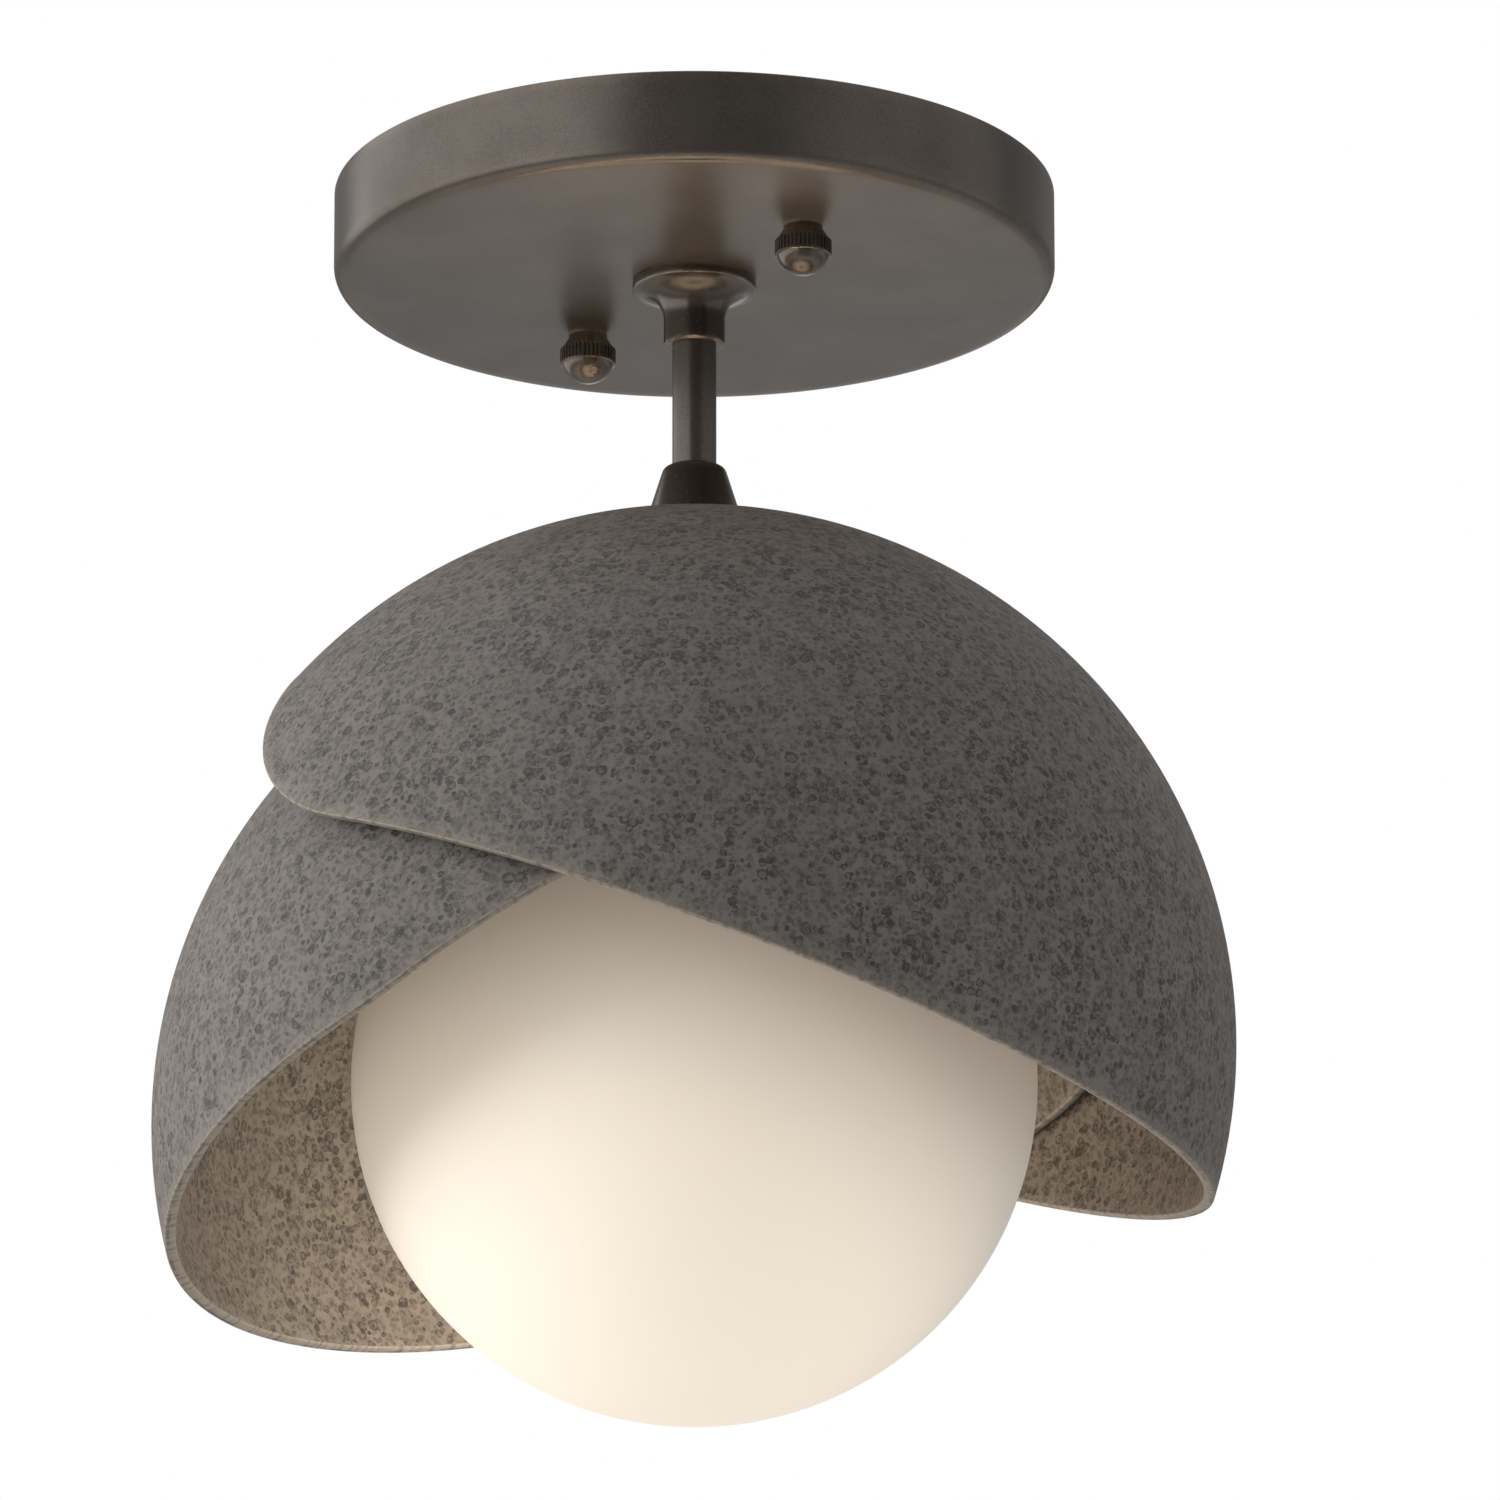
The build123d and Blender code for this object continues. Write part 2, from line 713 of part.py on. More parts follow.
neutral_lead = lead(-1, neutral_splice_angle)
neutral_lead.part.label = "neutral_lead"
export_step(neutral_lead.part, "parts/neutral_lead.step")

eyelet_thickness = 0.8
eyelet_bottom = -plate_thickness - eyelet_thickness
ground_head_radius = 4.4
ground_head_height = 2.4
with BuildPart() as ground_screw:
    with BuildSketch(Plane.XY.offset(eyelet_bottom)):
        with Locations((ground_screw_x, ground_screw_y)):
            Circle(ground_screw_radius)
    extrude(amount=-eyelet_bottom)
    with BuildSketch(Plane.XY.offset(eyelet_bottom - ground_head_height)):
        with Locations((ground_screw_x, ground_screw_y)):
            RegularPolygon(ground_head_radius, 6)
    extrude(amount=ground_head_height)
ground_screw.part.label = "ground_screw"
export_step(ground_screw.part, "parts/ground_screw.step")

eyelet_radius = 4.4
crimp_x = ground_screw_x + 6.0
crimp_length = 5.0
crimp_width = 2.4
ground_lead_height = eyelet_bottom - 0.5
ground_start = (ground_screw_x + 5.5, ground_screw_y, ground_lead_height)
ground_bend = (11.5, ground_screw_y, ground_lead_height)
ground_drop = (15.9, 22.8, splice_height)
ground_splice = (19.5, 27.9, splice_height)
ground_bends = [3.5, 3.0]
ground_splice_angle = 54.8
with BuildPart() as ground_lead:
    with BuildSketch(Plane.XY.offset(eyelet_bottom)):
        with Locations((ground_screw_x, ground_screw_y)):
            Circle(eyelet_radius)
        with Locations((crimp_x, ground_screw_y)):
            Rectangle(crimp_length, crimp_width)
        with Locations((ground_screw_x, ground_screw_y)):
            Circle(ground_screw_radius + washer_gap, mode=Mode.SUBTRACT)
    extrude(amount=eyelet_thickness)
    with BuildLine() as ground_route:
        FilletPolyline(ground_start, ground_bend, ground_drop, ground_splice, radius=ground_bends)
    with BuildSketch(Plane(origin=ground_start, z_dir=(1, 0, 0))):
        Circle(wire_radius)
    sweep(path=ground_route.line)
ground_lead.part.label = "ground_lead"
export_step(ground_lead.part, "parts/ground_lead.step")


def splice_plane(x, y, angle):
    """The wide end of a splice connector, facing outwards."""
    facing = (math.cos(math.radians(angle)), math.sin(math.radians(angle)), 0)
    return Plane(origin=(x, y, splice_height), z_dir=facing)


splice_mouth_radius = 4.7
splice_end_radius = 3.3
live_x = splice_reach * math.cos(math.radians(live_splice_angle))
live_y = splice_reach * math.sin(math.radians(live_splice_angle))
with BuildPart() as splice_connectors:
    for mouth in (
        splice_plane(live_x, live_y, live_splice_angle),
        splice_plane(-live_x, -live_y, neutral_splice_angle),
        splice_plane(ground_splice[0], ground_splice[1], ground_splice_angle),
    ):
        with BuildSketch(mouth):
            RegularPolygon(splice_mouth_radius, 6)
        with BuildSketch(mouth.offset(splice_length)):
            RegularPolygon(splice_end_radius, 6)
        loft()
splice_connectors.part.label = "splice_connectors"
export_step(splice_connectors.part, "parts/splice_connectors.step")
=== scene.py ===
import math
import bmesh
import bpy
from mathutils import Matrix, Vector


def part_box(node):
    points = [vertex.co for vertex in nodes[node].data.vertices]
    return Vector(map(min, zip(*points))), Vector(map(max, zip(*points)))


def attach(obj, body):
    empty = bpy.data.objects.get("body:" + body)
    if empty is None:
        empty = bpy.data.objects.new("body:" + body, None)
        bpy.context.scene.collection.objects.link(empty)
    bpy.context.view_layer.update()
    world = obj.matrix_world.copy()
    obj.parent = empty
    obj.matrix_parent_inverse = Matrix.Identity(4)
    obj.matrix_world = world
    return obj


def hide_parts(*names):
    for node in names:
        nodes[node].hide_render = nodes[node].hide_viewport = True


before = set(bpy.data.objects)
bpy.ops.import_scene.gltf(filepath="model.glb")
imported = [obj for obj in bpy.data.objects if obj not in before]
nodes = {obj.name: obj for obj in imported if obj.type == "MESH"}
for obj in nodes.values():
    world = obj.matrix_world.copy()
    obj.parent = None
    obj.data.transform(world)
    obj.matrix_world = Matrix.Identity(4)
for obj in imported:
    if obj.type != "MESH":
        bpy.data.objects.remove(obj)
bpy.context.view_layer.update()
mm = 0.001
print("frame loaded:", len(nodes), "pieces")

cameraSetup = {
    "place": (0.0, -2.330, -0.8509),
    "pitch": 0.3100,  # looks up at the light, in radians
    "focal": 330.5,
    "sideShift": 0.0371,
}


def makeCamera(setup):
    data = bpy.data.cameras.new("photoCamera")
    data.sensor_width = 36.0
    data.lens = setup["focal"]
    data.shift_x = setup["sideShift"]
    data.clip_end = 50.0
    camera = bpy.data.objects.new("photoCamera", data)
    camera.location = setup["place"]
    camera.rotation_euler = (math.pi / 2 + setup["pitch"], 0, 0)
    bpy.context.scene.collection.objects.link(camera)
    bpy.context.scene.camera = camera


makeCamera(cameraSetup)
print("camera placed")


def put(tree, kind, inputs=None, **settings):
    made = tree.nodes.new(kind)
    for name, value in settings.items():
        setattr(made, name, value)
    for name, value in (inputs or {}).items():
        feed(tree, made.inputs[name], value)
    return made


def feed(tree, socket, value):
    if isinstance(value, bpy.types.NodeSocket):
        tree.links.new(value, socket)
    else:
        socket.default_value = value


def calc(tree, operation, *values, clamp=False):
    made = put(tree, "ShaderNodeMath", operation=operation, use_clamp=clamp)
    for index, value in enumerate(values):
        feed(tree, made.inputs[index], value)
    return made.outputs[0]


def times(tree, first, second, clamp=False):
    return calc(tree, "MULTIPLY", first, second, clamp=clamp)


def vectorCalc(tree, operation, *values):
    made = put(tree, "ShaderNodeVectorMath", operation=operation)
    for index, value in enumerate(values):
        feed(tree, made.inputs[index], value)
    return made.outputs["Value"] if operation == "DOT_PRODUCT" else made.outputs[0]


def scaled(tree, vector, scale):
    return put(tree, "ShaderNodeVectorMath", {0: vector, "Scale": scale}, operation="SCALE").outputs[0]


def joinXyz(tree, x, y, z):
    return put(tree, "ShaderNodeCombineXYZ", {"X": x, "Y": y, "Z": z}).outputs[0]


def splitXyz(tree, vector):
    return put(tree, "ShaderNodeSeparateXYZ", {"Vector": vector}).outputs


def squared(tree, value):
    return calc(tree, "POWER", value, 2.0)


def otherLeg(tree, longSide, leg):
    return calc(tree, "SQRT", calc(tree, "SUBTRACT", squared(tree, longSide), squared(tree, leg)))


def attribute(tree, name):
    return put(tree, "ShaderNodeAttribute", attribute_name=name).outputs["Fac"]


def noise(tree, place, scale, detail):
    return put(tree, "ShaderNodeTexNoise", {"Vector": place, "Scale": scale, "Detail": detail}).outputs


def lineNoise(tree, value, frequency, detail):
    place = times(tree, value, frequency)
    inputs = {"W": place, "Scale": 1.0, "Detail": detail}
    return put(tree, "ShaderNodeTexNoise", inputs, noise_dimensions="1D").outputs[0]


def ease(tree, value, low, high, toLow=0.0, toHigh=1.0):
    ends = {"Value": value, "From Min": low, "From Max": high, "To Min": toLow, "To Max": toHigh}
    return put(tree, "ShaderNodeMapRange", ends, interpolation_type="SMOOTHSTEP").outputs[0]


def blendColour(tree, factor, first, second, mode="MIX"):
    made = put(tree, "ShaderNodeMix", {"Factor": factor}, data_type="RGBA", blend_type=mode)
    # its colour sockets follow those for numbers and vectors
    feed(tree, made.inputs[6], first)
    feed(tree, made.inputs[7], second)
    return made.outputs[2]


socketKinds = {float: "NodeSocketFloat", int: "NodeSocketInt", tuple: "NodeSocketVector"}


def newTree(name, kind, inputs, outputs):
    # an input's value says what kind of socket it gets, or is the kind's name where it has no value
    tree = bpy.data.node_groups.new(name, kind)
    for socketName, value in inputs.items():
        named = isinstance(value, str)
        socketKind = value if named else socketKinds[type(value)]
        made = tree.interface.new_socket(socketName, in_out="INPUT", socket_type=socketKind)
        if not named:
            made.default_value = value
    for socketName, socketKind in outputs:
        tree.interface.new_socket(socketName, in_out="OUTPUT", socket_type=socketKind)
    return tree, tree.nodes.new("NodeGroupInput").outputs, tree.nodes.new("NodeGroupOutput").inputs


def useGroup(tree, group, kind="ShaderNodeGroup", **inputs):
    made = tree.nodes.new(kind)
    made.node_tree = group
    for name, value in inputs.items():
        feed(tree, made.inputs[name], value)
    return made.outputs


def makeGrainGroup():
    tree, given, out = newTree(
        "fineGrain",
        "ShaderNodeTree",
        {"Size": 0.6, "Detail": 3.0},
        [("Value", "NodeSocketFloat")],
    )
    place = put(tree, "ShaderNodeTexCoord").outputs["Object"]
    scale = calc(tree, "DIVIDE", 1.0 / mm, given["Size"])
    feed(tree, out["Value"], noise(tree, place, scale, given["Detail"])[0])
    return tree


def makeWearGroup():
    tree, given, out = newTree(
        "wornEdge",
        "ShaderNodeTree",
        {"Amount": 1.0, "Patch size": 3.0},
        [("Mask", "NodeSocketFloat")],
    )
    edge = attribute(tree, "wear")
    place = put(tree, "ShaderNodeTexCoord").outputs["Object"]
    scale = calc(tree, "DIVIDE", 1.0 / mm, given["Patch size"])
    patches = noise(tree, place, scale, detail=4.0)[0]
    broken = times(tree, edge, ease(tree, patches, 0.3, 0.6, toLow=0.55))
    feed(tree, out["Mask"], times(tree, broken, given["Amount"], clamp=True))
    return tree


ringShape = {
    "wander": 0.5,  # how far the points are moved about, in millimetres
    "wanderRate": 0.9,  # the three rates are per millimetre
    "patchRate": 1.5,
    "clumpRate": 0.11,
    "leastRadius": 0.75,
    "radiusSpread": 0.5,
    "strongDepth": 0.7,
    # each pair is where a value eases from 0 to 1, and two more numbers give other ends
    "disc": (1.05, 0.88),
    "hollow": (0.84, 0.6),
    "strong": (0.93, 1.06),
    "present": (0.10, 0.22),
    "clumps": (0.36, 0.64, 0.4, 1.7),
    "patches": (0.3, 0.65, 0.4, 1.2),
}


def makeRingGroup(shape):
    # dark rings with a paler middle, where shells round scattered points meet the surface
    tree, given, out = newTree(
        "ringSpots",
        "ShaderNodeTree",
        {
            "Spacing": 2.6,
            "Radius": 1.0,
            "Middle": 0.5,
            "Strong share": 0.3,
            "Faint depth": 0.35,
            "Offset": (0, 0, 0),
        },
        [("Mask", "NodeSocketFloat")],
    )
    place = put(tree, "ShaderNodeTexCoord").outputs["Object"]
    scale = calc(tree, "DIVIDE", 1.0 / mm, given["Spacing"])
    wobble = noise(tree, place, shape["wanderRate"] / mm, detail=1.0)[1]
    bent = vectorCalc(tree, "SUBTRACT", wobble, (0.5, 0.5, 0.5))
    bent = scaled(tree, bent, shape["wander"] * mm)
    moved = vectorCalc(tree, "ADD", vectorCalc(tree, "ADD", place, bent), given["Offset"])
    cells = put(tree, "ShaderNodeTexVoronoi", {"Vector": moved, "Scale": scale, "Randomness": 1.0})
    chance = put(tree, "ShaderNodeSeparateColor", {"Color": cells.outputs["Color"]}).outputs
    share = calc(tree, "MULTIPLY_ADD", chance[1], shape["radiusSpread"], shape["leastRadius"])
    ownRadius = times(tree, given["Radius"], share)
    # the reach is 1 at the ring's own radius
    reach = times(tree, cells.outputs["Distance"], calc(tree, "DIVIDE", given["Spacing"], ownRadius))
    disc = ease(tree, reach, *shape["disc"])
    paler = calc(tree, "SUBTRACT", 1.0, given["Middle"])
    hollow = times(tree, ease(tree, reach, *shape["hollow"]), paler)
    clumps = noise(tree, place, shape["clumpRate"] / mm, detail=2.0)[0]
    strongShare = times(tree, given["Strong share"], ease(tree, clumps, *shape["clumps"]))
    strong = ease(tree, calc(tree, "ADD", chance[0], strongShare), *shape["strong"])
    depth = calc(tree, "ADD", given["Faint depth"], times(tree, strong, shape["strongDepth"]))
    present = ease(tree, chance[2], *shape["present"])
    patches = noise(tree, moved, shape["patchRate"] / mm, detail=1.0)[0]
    broken = times(tree, present, ease(tree, patches, *shape["patches"]))
    covered = calc(tree, "SUBTRACT", disc, hollow, clamp=True)
    feed(tree, out["Mask"], times(tree, times(tree, covered, depth), broken, clamp=True))
    return tree


grainGroup = makeGrainGroup()
wearGroup = makeWearGroup()
ringGroup = makeRingGroup(ringShape)
print("shader groups made")


def newMaterial(name):
    material = bpy.data.materials.new(name)
    material.use_nodes = True
    tree = material.node_tree
    surface = tree.nodes["Principled BSDF"]
    return material, tree, surface


def roughen(tree, surface, height, depth):
    bump = put(tree, "ShaderNodeBump", {"Strength": 1.0, "Distance": depth * mm, "Height": height})
    tree.links.new(bump.outputs[0], surface.inputs["Normal"])


# shared by both bronzes
bronzeMix = {
    "metallic": 0.86,
    "cloudSize": 14.0,
    "grainShare": 0.55,
    "cloudShare": 0.45,
    "spread": (0.38, 0.62),
    "roughSpread": 0.12,
    "wearPolish": 0.08,
    "bump": 0.012,
}
bronzeLook = {
    "dark": (0.098, 0.086, 0.077, 1),
    "pale": (0.128, 0.114, 0.102, 1),
    "worn": (0.34, 0.265, 0.20, 1),
    "roughness": 0.31,
    "grain": 0.35,
}
darkBronzeLook = {
    "dark": (0.090, 0.075, 0.064, 1),
    "pale": (0.119, 0.101, 0.088, 1),
    "worn": (0.30, 0.245, 0.19, 1),
    "roughness": 0.25,
    "grain": 0.35,
}


def makeBronze(name, look, mix, wornAmount):
    material, tree, surface = newMaterial(name)
    surface.inputs["Metallic"].default_value = mix["metallic"]
    grain = useGroup(tree, grainGroup, Size=look["grain"], Detail=3.0)["Value"]
    cloud = useGroup(tree, grainGroup, Size=mix["cloudSize"], Detail=3.0)["Value"]
    wear = useGroup(tree, wearGroup, Amount=wornAmount)["Mask"]
    mixed = calc(tree, "MULTIPLY_ADD", grain, mix["grainShare"], times(tree, cloud, mix["cloudShare"]))
    body = blendColour(tree, ease(tree, mixed, *mix["spread"]), look["dark"], look["pale"])
    tree.links.new(blendColour(tree, wear, body, look["worn"]), surface.inputs["Base Color"])
    smoothest = look["roughness"] - mix["roughSpread"] / 2
    rough = calc(tree, "MULTIPLY_ADD", grain, mix["roughSpread"], smoothest)
    tree.links.new(calc(tree, "MULTIPLY_ADD", wear, -mix["wearPolish"], rough), surface.inputs["Roughness"])
    roughen(tree, surface, grain, mix["bump"])
    return material


bronze = makeBronze("satinBronze", bronzeLook, bronzeMix, 0.2)
darkBronze = makeBronze("darkBronze", darkBronzeLook, bronzeMix, 0.8)

shadeLook = {
    "base": (0.160, 0.145, 0.134, 1),
    "cloud": (0.142, 0.128, 0.118, 1),
    "mark": (0.038, 0.034, 0.030, 1),
    "insidePaintedGlow": (1.22, 1.11, 0.96, 1),  # painted light: the inner wall is painted warmer and paler, for the lit globe's warm light on it
    "rim": (0.27, 0.232, 0.19, 1),
    "rimStreak": (0.165, 0.145, 0.122, 1),
    # paler from this many millimetres off the rim down to it, and by how much
    "rimBand": (3.4, -0.4, 0.0, 0.35),
    "raggedSize": 1.6,
    "raggedBy": 4.0,
    "bandLoss": 0.7,  # how much of that is lost on the inner wall
    "roughness": 0.62,
    "cloudSize": 6.0,
    "cloudSpread": (0.35, 0.65),
    "grain": 0.5,
    "grainHeight": 0.6,
    "markDepth": 0.7,
    "bump": 0.03,
    # spacing and radius in millimetres, fill of the middle, share of strong marks, depth of the faint ones
    "marks": (
        (2.4, 1.02, 0.40, 0.40, 0.24),
        (2.2, 0.94, 0.46, 0.32, 0.24),
        (1.35, 0.62, 0.9, 0.05, 0.46),
        (1.10, 0.50, 1.0, 0.05, 0.42),
    ),
    "layerStep": (0.013, 0.007, 0.021),
    "overlap": 0.7,  # how far a mark hides the ones laid over it
}
# the cut face of the rim, with Y from 0 at the outer wall to 1 at the inner one
rimFaceLook = {
    "streaks": 420.0,
    "streakSpread": (0.30, 0.56),
    "dashes": 90.0,
    "dashSpread": (0.47, 0.56, 0.0, 0.55),
    "linePlace": 0.38,
    "lineEdges": (0.09, 0.04),
}


def rimFaceColour(tree, look, face):
    # streaks across the face and a broken dark line along it
    along = splitXyz(tree, put(tree, "ShaderNodeUVMap", uv_map="UVMap").outputs[0])
    streaks = lineNoise(tree, along["X"], face["streaks"], detail=3.0)
    dashes = lineNoise(tree, along["X"], face["dashes"], detail=2.0)
    streaked = blendColour(tree, ease(tree, streaks, *face["streakSpread"]), look["rimStreak"], look["rim"])
    middle = calc(tree, "ABSOLUTE", calc(tree, "SUBTRACT", along["Y"], face["linePlace"]))
    edges = ease(tree, middle, *face["lineEdges"])
    line = times(tree, edges, ease(tree, dashes, *face["dashSpread"]))
    return blendColour(tree, line, streaked, look["mark"])


def makeShadeFinish(look):
    material, tree, surface = newMaterial("mottledShade")
    surface.inputs["Roughness"].default_value = look["roughness"]
    cloud = useGroup(tree, grainGroup, Size=look["cloudSize"], Detail=4.0)["Value"]
    ground = blendColour(tree, ease(tree, cloud, *look["cloudSpread"]), look["base"], look["cloud"])
    marks = 0.0
    for turn, row in enumerate(look["marks"]):
        values = dict(zip(("Spacing", "Radius", "Middle", "Strong share", "Faint depth"), row))
        offset = [step * turn for step in look["layerStep"]]
        layer = useGroup(tree, ringGroup, Offset=offset, **values)["Mask"]
        clear = calc(tree, "MULTIPLY_ADD", marks, -look["overlap"], 1.0)
        marks = calc(tree, "MULTIPLY_ADD", layer, clear, marks)
    marked = blendColour(tree, calc(tree, "MINIMUM", marks, 1.0), ground, look["mark"])
    inside = attribute(tree, "inside")
    # painted light: the inner wall's colour is tinted warm and pale, for the globe's light falling on it
    paintedGlowInside = blendColour(tree, inside, marked, look["insidePaintedGlow"], "MULTIPLY")
    ragged = useGroup(tree, grainGroup, Size=look["raggedSize"], Detail=3.0)["Value"]
    ragged = calc(tree, "SUBTRACT", ragged, 0.5)
    reach = calc(tree, "MULTIPLY_ADD", ragged, look["raggedBy"], attribute(tree, "rimDistance"))
    band = ease(tree, reach, *look["rimBand"])
    outside = calc(tree, "MULTIPLY_ADD", inside, -look["bandLoss"], 1.0)
    edged = blendColour(tree, times(tree, band, outside), paintedGlowInside, look["rim"])
    faceColour = rimFaceColour(tree, look, rimFaceLook)
    coloured = blendColour(tree, attribute(tree, "rimFace"), edged, faceColour)
    tree.links.new(coloured, surface.inputs["Base Color"])
    grain = useGroup(tree, grainGroup, Size=look["grain"], Detail=3.0)["Value"]
    grain = times(tree, grain, look["grainHeight"])
    roughen(tree, surface, calc(tree, "MULTIPLY_ADD", marks, -look["markDepth"], grain), look["bump"])
    return material


shadeFinish = makeShadeFinish(shadeLook)

globeLook = {
    "glass": (0.80, 0.755, 0.69, 1),
    "glowShadedSide": (0.145, 0.121, 0.094, 1),
    "glowLitSide": (0.378, 0.308, 0.232, 1),
    "paintedLitSide": (-0.245, -0.433, -0.867),  # painted light: the side where the glow is painted strongest, for light falling on the glass as well as the lit lamp's glow
    "paintedLitSpread": (0.12, 0.80),
    "centre": (0, 0, -0.1663),
    "roughness": 0.55,
    "grain": 0.4,
    "bump": 0.01,
}


def makeOpalGlass(look):
    material, tree, surface = newMaterial("opalGlass")
    surface.inputs["Base Color"].default_value = look["glass"]
    surface.inputs["Roughness"].default_value = look["roughness"]
    surface.inputs["Emission Strength"].default_value = 1.0
    place = put(tree, "ShaderNodeTexCoord").outputs["Object"]
    # painted light and shade: the glow is painted brighter towards the lower front left and dimmer towards
    # the top, under the shades, on top of the lit lamp's own glow
    outward = vectorCalc(tree, "NORMALIZE", vectorCalc(tree, "SUBTRACT", place, look["centre"]))
    facing = vectorCalc(tree, "DOT_PRODUCT", outward, look["paintedLitSide"])
    glow = blendColour(tree, ease(tree, facing, *look["paintedLitSpread"]), look["glowShadedSide"], look["glowLitSide"])
    tree.links.new(glow, surface.inputs["Emission Color"])
    grain = useGroup(tree, grainGroup, Size=look["grain"], Detail=2.0)["Value"]
    roughen(tree, surface, grain, look["bump"])
    return material


opalGlass = makeOpalGlass(globeLook)


insideSurface = {"spread": 0.12, "grain": 0.8, "roughSpread": 0.1, "bump": 0.01}


def finishInside(name, pieces, colour, roughness, metallic=0.0, **more):
    # a worked surface: two tones of one colour, fine grain and a slight bump
    material, tree, surface = newMaterial(name)
    surface.inputs["Metallic"].default_value = metallic
    for socketName, value in more.items():
        surface.inputs[socketName].default_value = value
    grain = useGroup(tree, grainGroup, Size=insideSurface["grain"], Detail=3.0)["Value"]
    spread, roughSpread = insideSurface["spread"], insideSurface["roughSpread"]
    low = tuple(channel * (1 - spread) for channel in colour) + (1,)
    high = tuple(min(1.0, channel * (1 + spread)) for channel in colour) + (1,)
    tree.links.new(blendColour(tree, grain, low, high), surface.inputs["Base Color"])
    rough = calc(tree, "MULTIPLY_ADD", grain, roughSpread, roughness - roughSpread / 2)
    tree.links.new(rough, surface.inputs["Roughness"])
    roughen(tree, surface, grain, insideSurface["bump"])
    for piece in pieces:
        mesh = nodes[piece].data
        mesh.materials.clear()
        mesh.materials.append(material)


insideLooks = {
    "zincSteel": {
        "pieces": (
            "mounting_plate", "canopy_studs", "stud_lock_nuts", "upper_nipple", "upper_star_washer",
            "upper_lock_nut", "lower_nipple", "shade_washer", "holder_spacer", "shade_spacer",
            "lower_lock_nut", "socket_bracket", "socket_screws",
        ),
        "colour": (0.55, 0.55, 0.53), "roughness": 0.38, "metallic": 1.0,
    },
    "whiteEnamel": {"pieces": ("globe_holder",), "colour": (0.76, 0.75, 0.71), "roughness": 0.35},
    "paleRubber": {"pieces": ("neck_gasket",), "colour": (0.68, 0.66, 0.62), "roughness": 0.75},
    "ceramic": {"pieces": ("lamp_socket", "lamp_base"), "colour": (0.80, 0.78, 0.72), "roughness": 0.5},
    "brass": {
        "pieces": ("socket_contacts",), "colour": (0.72, 0.54, 0.26), "roughness": 0.3, "metallic": 1.0,
    },
    "nickel": {"pieces": ("lamp_pins",), "colour": (0.66, 0.64, 0.60), "roughness": 0.25, "metallic": 1.0},
    "blackSleeve": {"pieces": ("live_lead",), "colour": (0.022, 0.022, 0.022), "roughness": 0.45},
    "whiteSleeve": {"pieces": ("neutral_lead",), "colour": (0.75, 0.74, 0.71), "roughness": 0.45},
    "greenPaint": {
        "pieces": ("ground_screw", "ground_lead"), "colour": (0.04, 0.22, 0.08), "roughness": 0.4,
    },
    "orangeCap": {"pieces": ("splice_connectors",), "colour": (0.68, 0.24, 0.04), "roughness": 0.42},
    "lampTube": {
        "pieces": ("lamp_envelope",), "colour": (0.9, 0.9, 0.88), "roughness": 0.08,
        "Transmission Weight": 0.9,
    },
    "lampGlow": {
        "pieces": ("lamp_element",), "colour": (0.95, 0.85, 0.65), "roughness": 0.5,
        "Emission Color": (1.0, 0.86, 0.62, 1), "Emission Strength": 3.0,
    },
}
for name, look in insideLooks.items():
    finishInside(name, **look)
print("finishes made:", len(bpy.data.materials))


def arc(centreR, centreZ, radius, start, end, steps):
    angles = [math.radians(start + (end - start) * step / steps) for step in range(steps + 1)]
    return [(centreR + radius * math.cos(angle), centreZ + radius * math.sin(angle)) for angle in angles]


def splitRuns(outline, longest):
    points = []
    for (r0, z0), (r1, z1) in zip(outline, outline[1:] + outline[:1]):
        pieces = max(1, math.ceil(math.hypot(r1 - r0, z1 - z0) / longest))
        points += [(r0 + (r1 - r0) * step / pieces, z0 + (z1 - z0) * step / pieces) for step in range(pieces)]
    return points


def convexTurns(points, fullTurn=24):
    # how sharply the outline turns outwards at each point: 0 on flats and in hollows, 1 at the full turn
    turns = []
    for index, (r, z) in enumerate(points):
        r0, z0 = points[index - 1]
        r1, z1 = points[(index + 1) % len(points)]
        crossed = (r - r0) * (z1 - z) - (z - z0) * (r1 - r)
        turn = math.atan2(crossed, (r - r0) * (r1 - r) + (z - z0) * (z1 - z))
        turns.append(min(1.0, max(0.0, turn / math.radians(fullTurn))))
    return turns


def turnedPiece(name, outline, material, centre=(0, 0), segments=160, longest=1.5):
    # the outline runs anticlockwise in (radius, height), in millimetres
    points = splitRuns(outline, longest)
    turns = convexTurns(points)
    rows = len(points)
    verts = [
        (centre[0] + r * mm * math.cos(angle), centre[1] + r * mm * math.sin(angle), z * mm)
        for angle in (2 * math.pi * turn / segments for turn in range(segments))
        for r, z in points
    ]
    faces = [
        (
            turn * rows + row,
            (turn + 1) % segments * rows + row,
            (turn + 1) % segments * rows + (row + 1) % rows,
            turn * rows + (row + 1) % rows,
        )
        for turn in range(segments)
        for row in range(rows)
    ]
    mesh = bpy.data.meshes.new(name)
    mesh.from_pydata(verts, [], faces)
    mesh.attributes.new("wear", "FLOAT", "POINT").data.foreach_set("value", turns * segments)
    mesh.materials.append(material)
    return closeUp(name, mesh)


sharpAngle = math.radians(40)


def closeUp(name, mesh, weld=0.002):
    # welds poles, turns every face outwards and smooths all but the sharp corners
    work = bmesh.new()
    work.from_mesh(mesh)
    bmesh.ops.remove_doubles(work, verts=work.verts, dist=weld * mm)
    bmesh.ops.recalc_face_normals(work, faces=work.faces)
    work.to_mesh(mesh)
    work.free()
    mesh.shade_smooth()
    mesh.set_sharp_from_angle(angle=sharpAngle)
    piece = bpy.data.objects.new(name, mesh)
    bpy.context.scene.collection.objects.link(piece)
    return piece


def dress(piece, body, slot, *replaced):
    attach(piece, body)
    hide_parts(*replaced)


canopyLook = {"wall": 1.2, "lowerEdge": 2.4, "edgeStart": 2.0, "rimEdge": 0.3, "hole": 5.1}


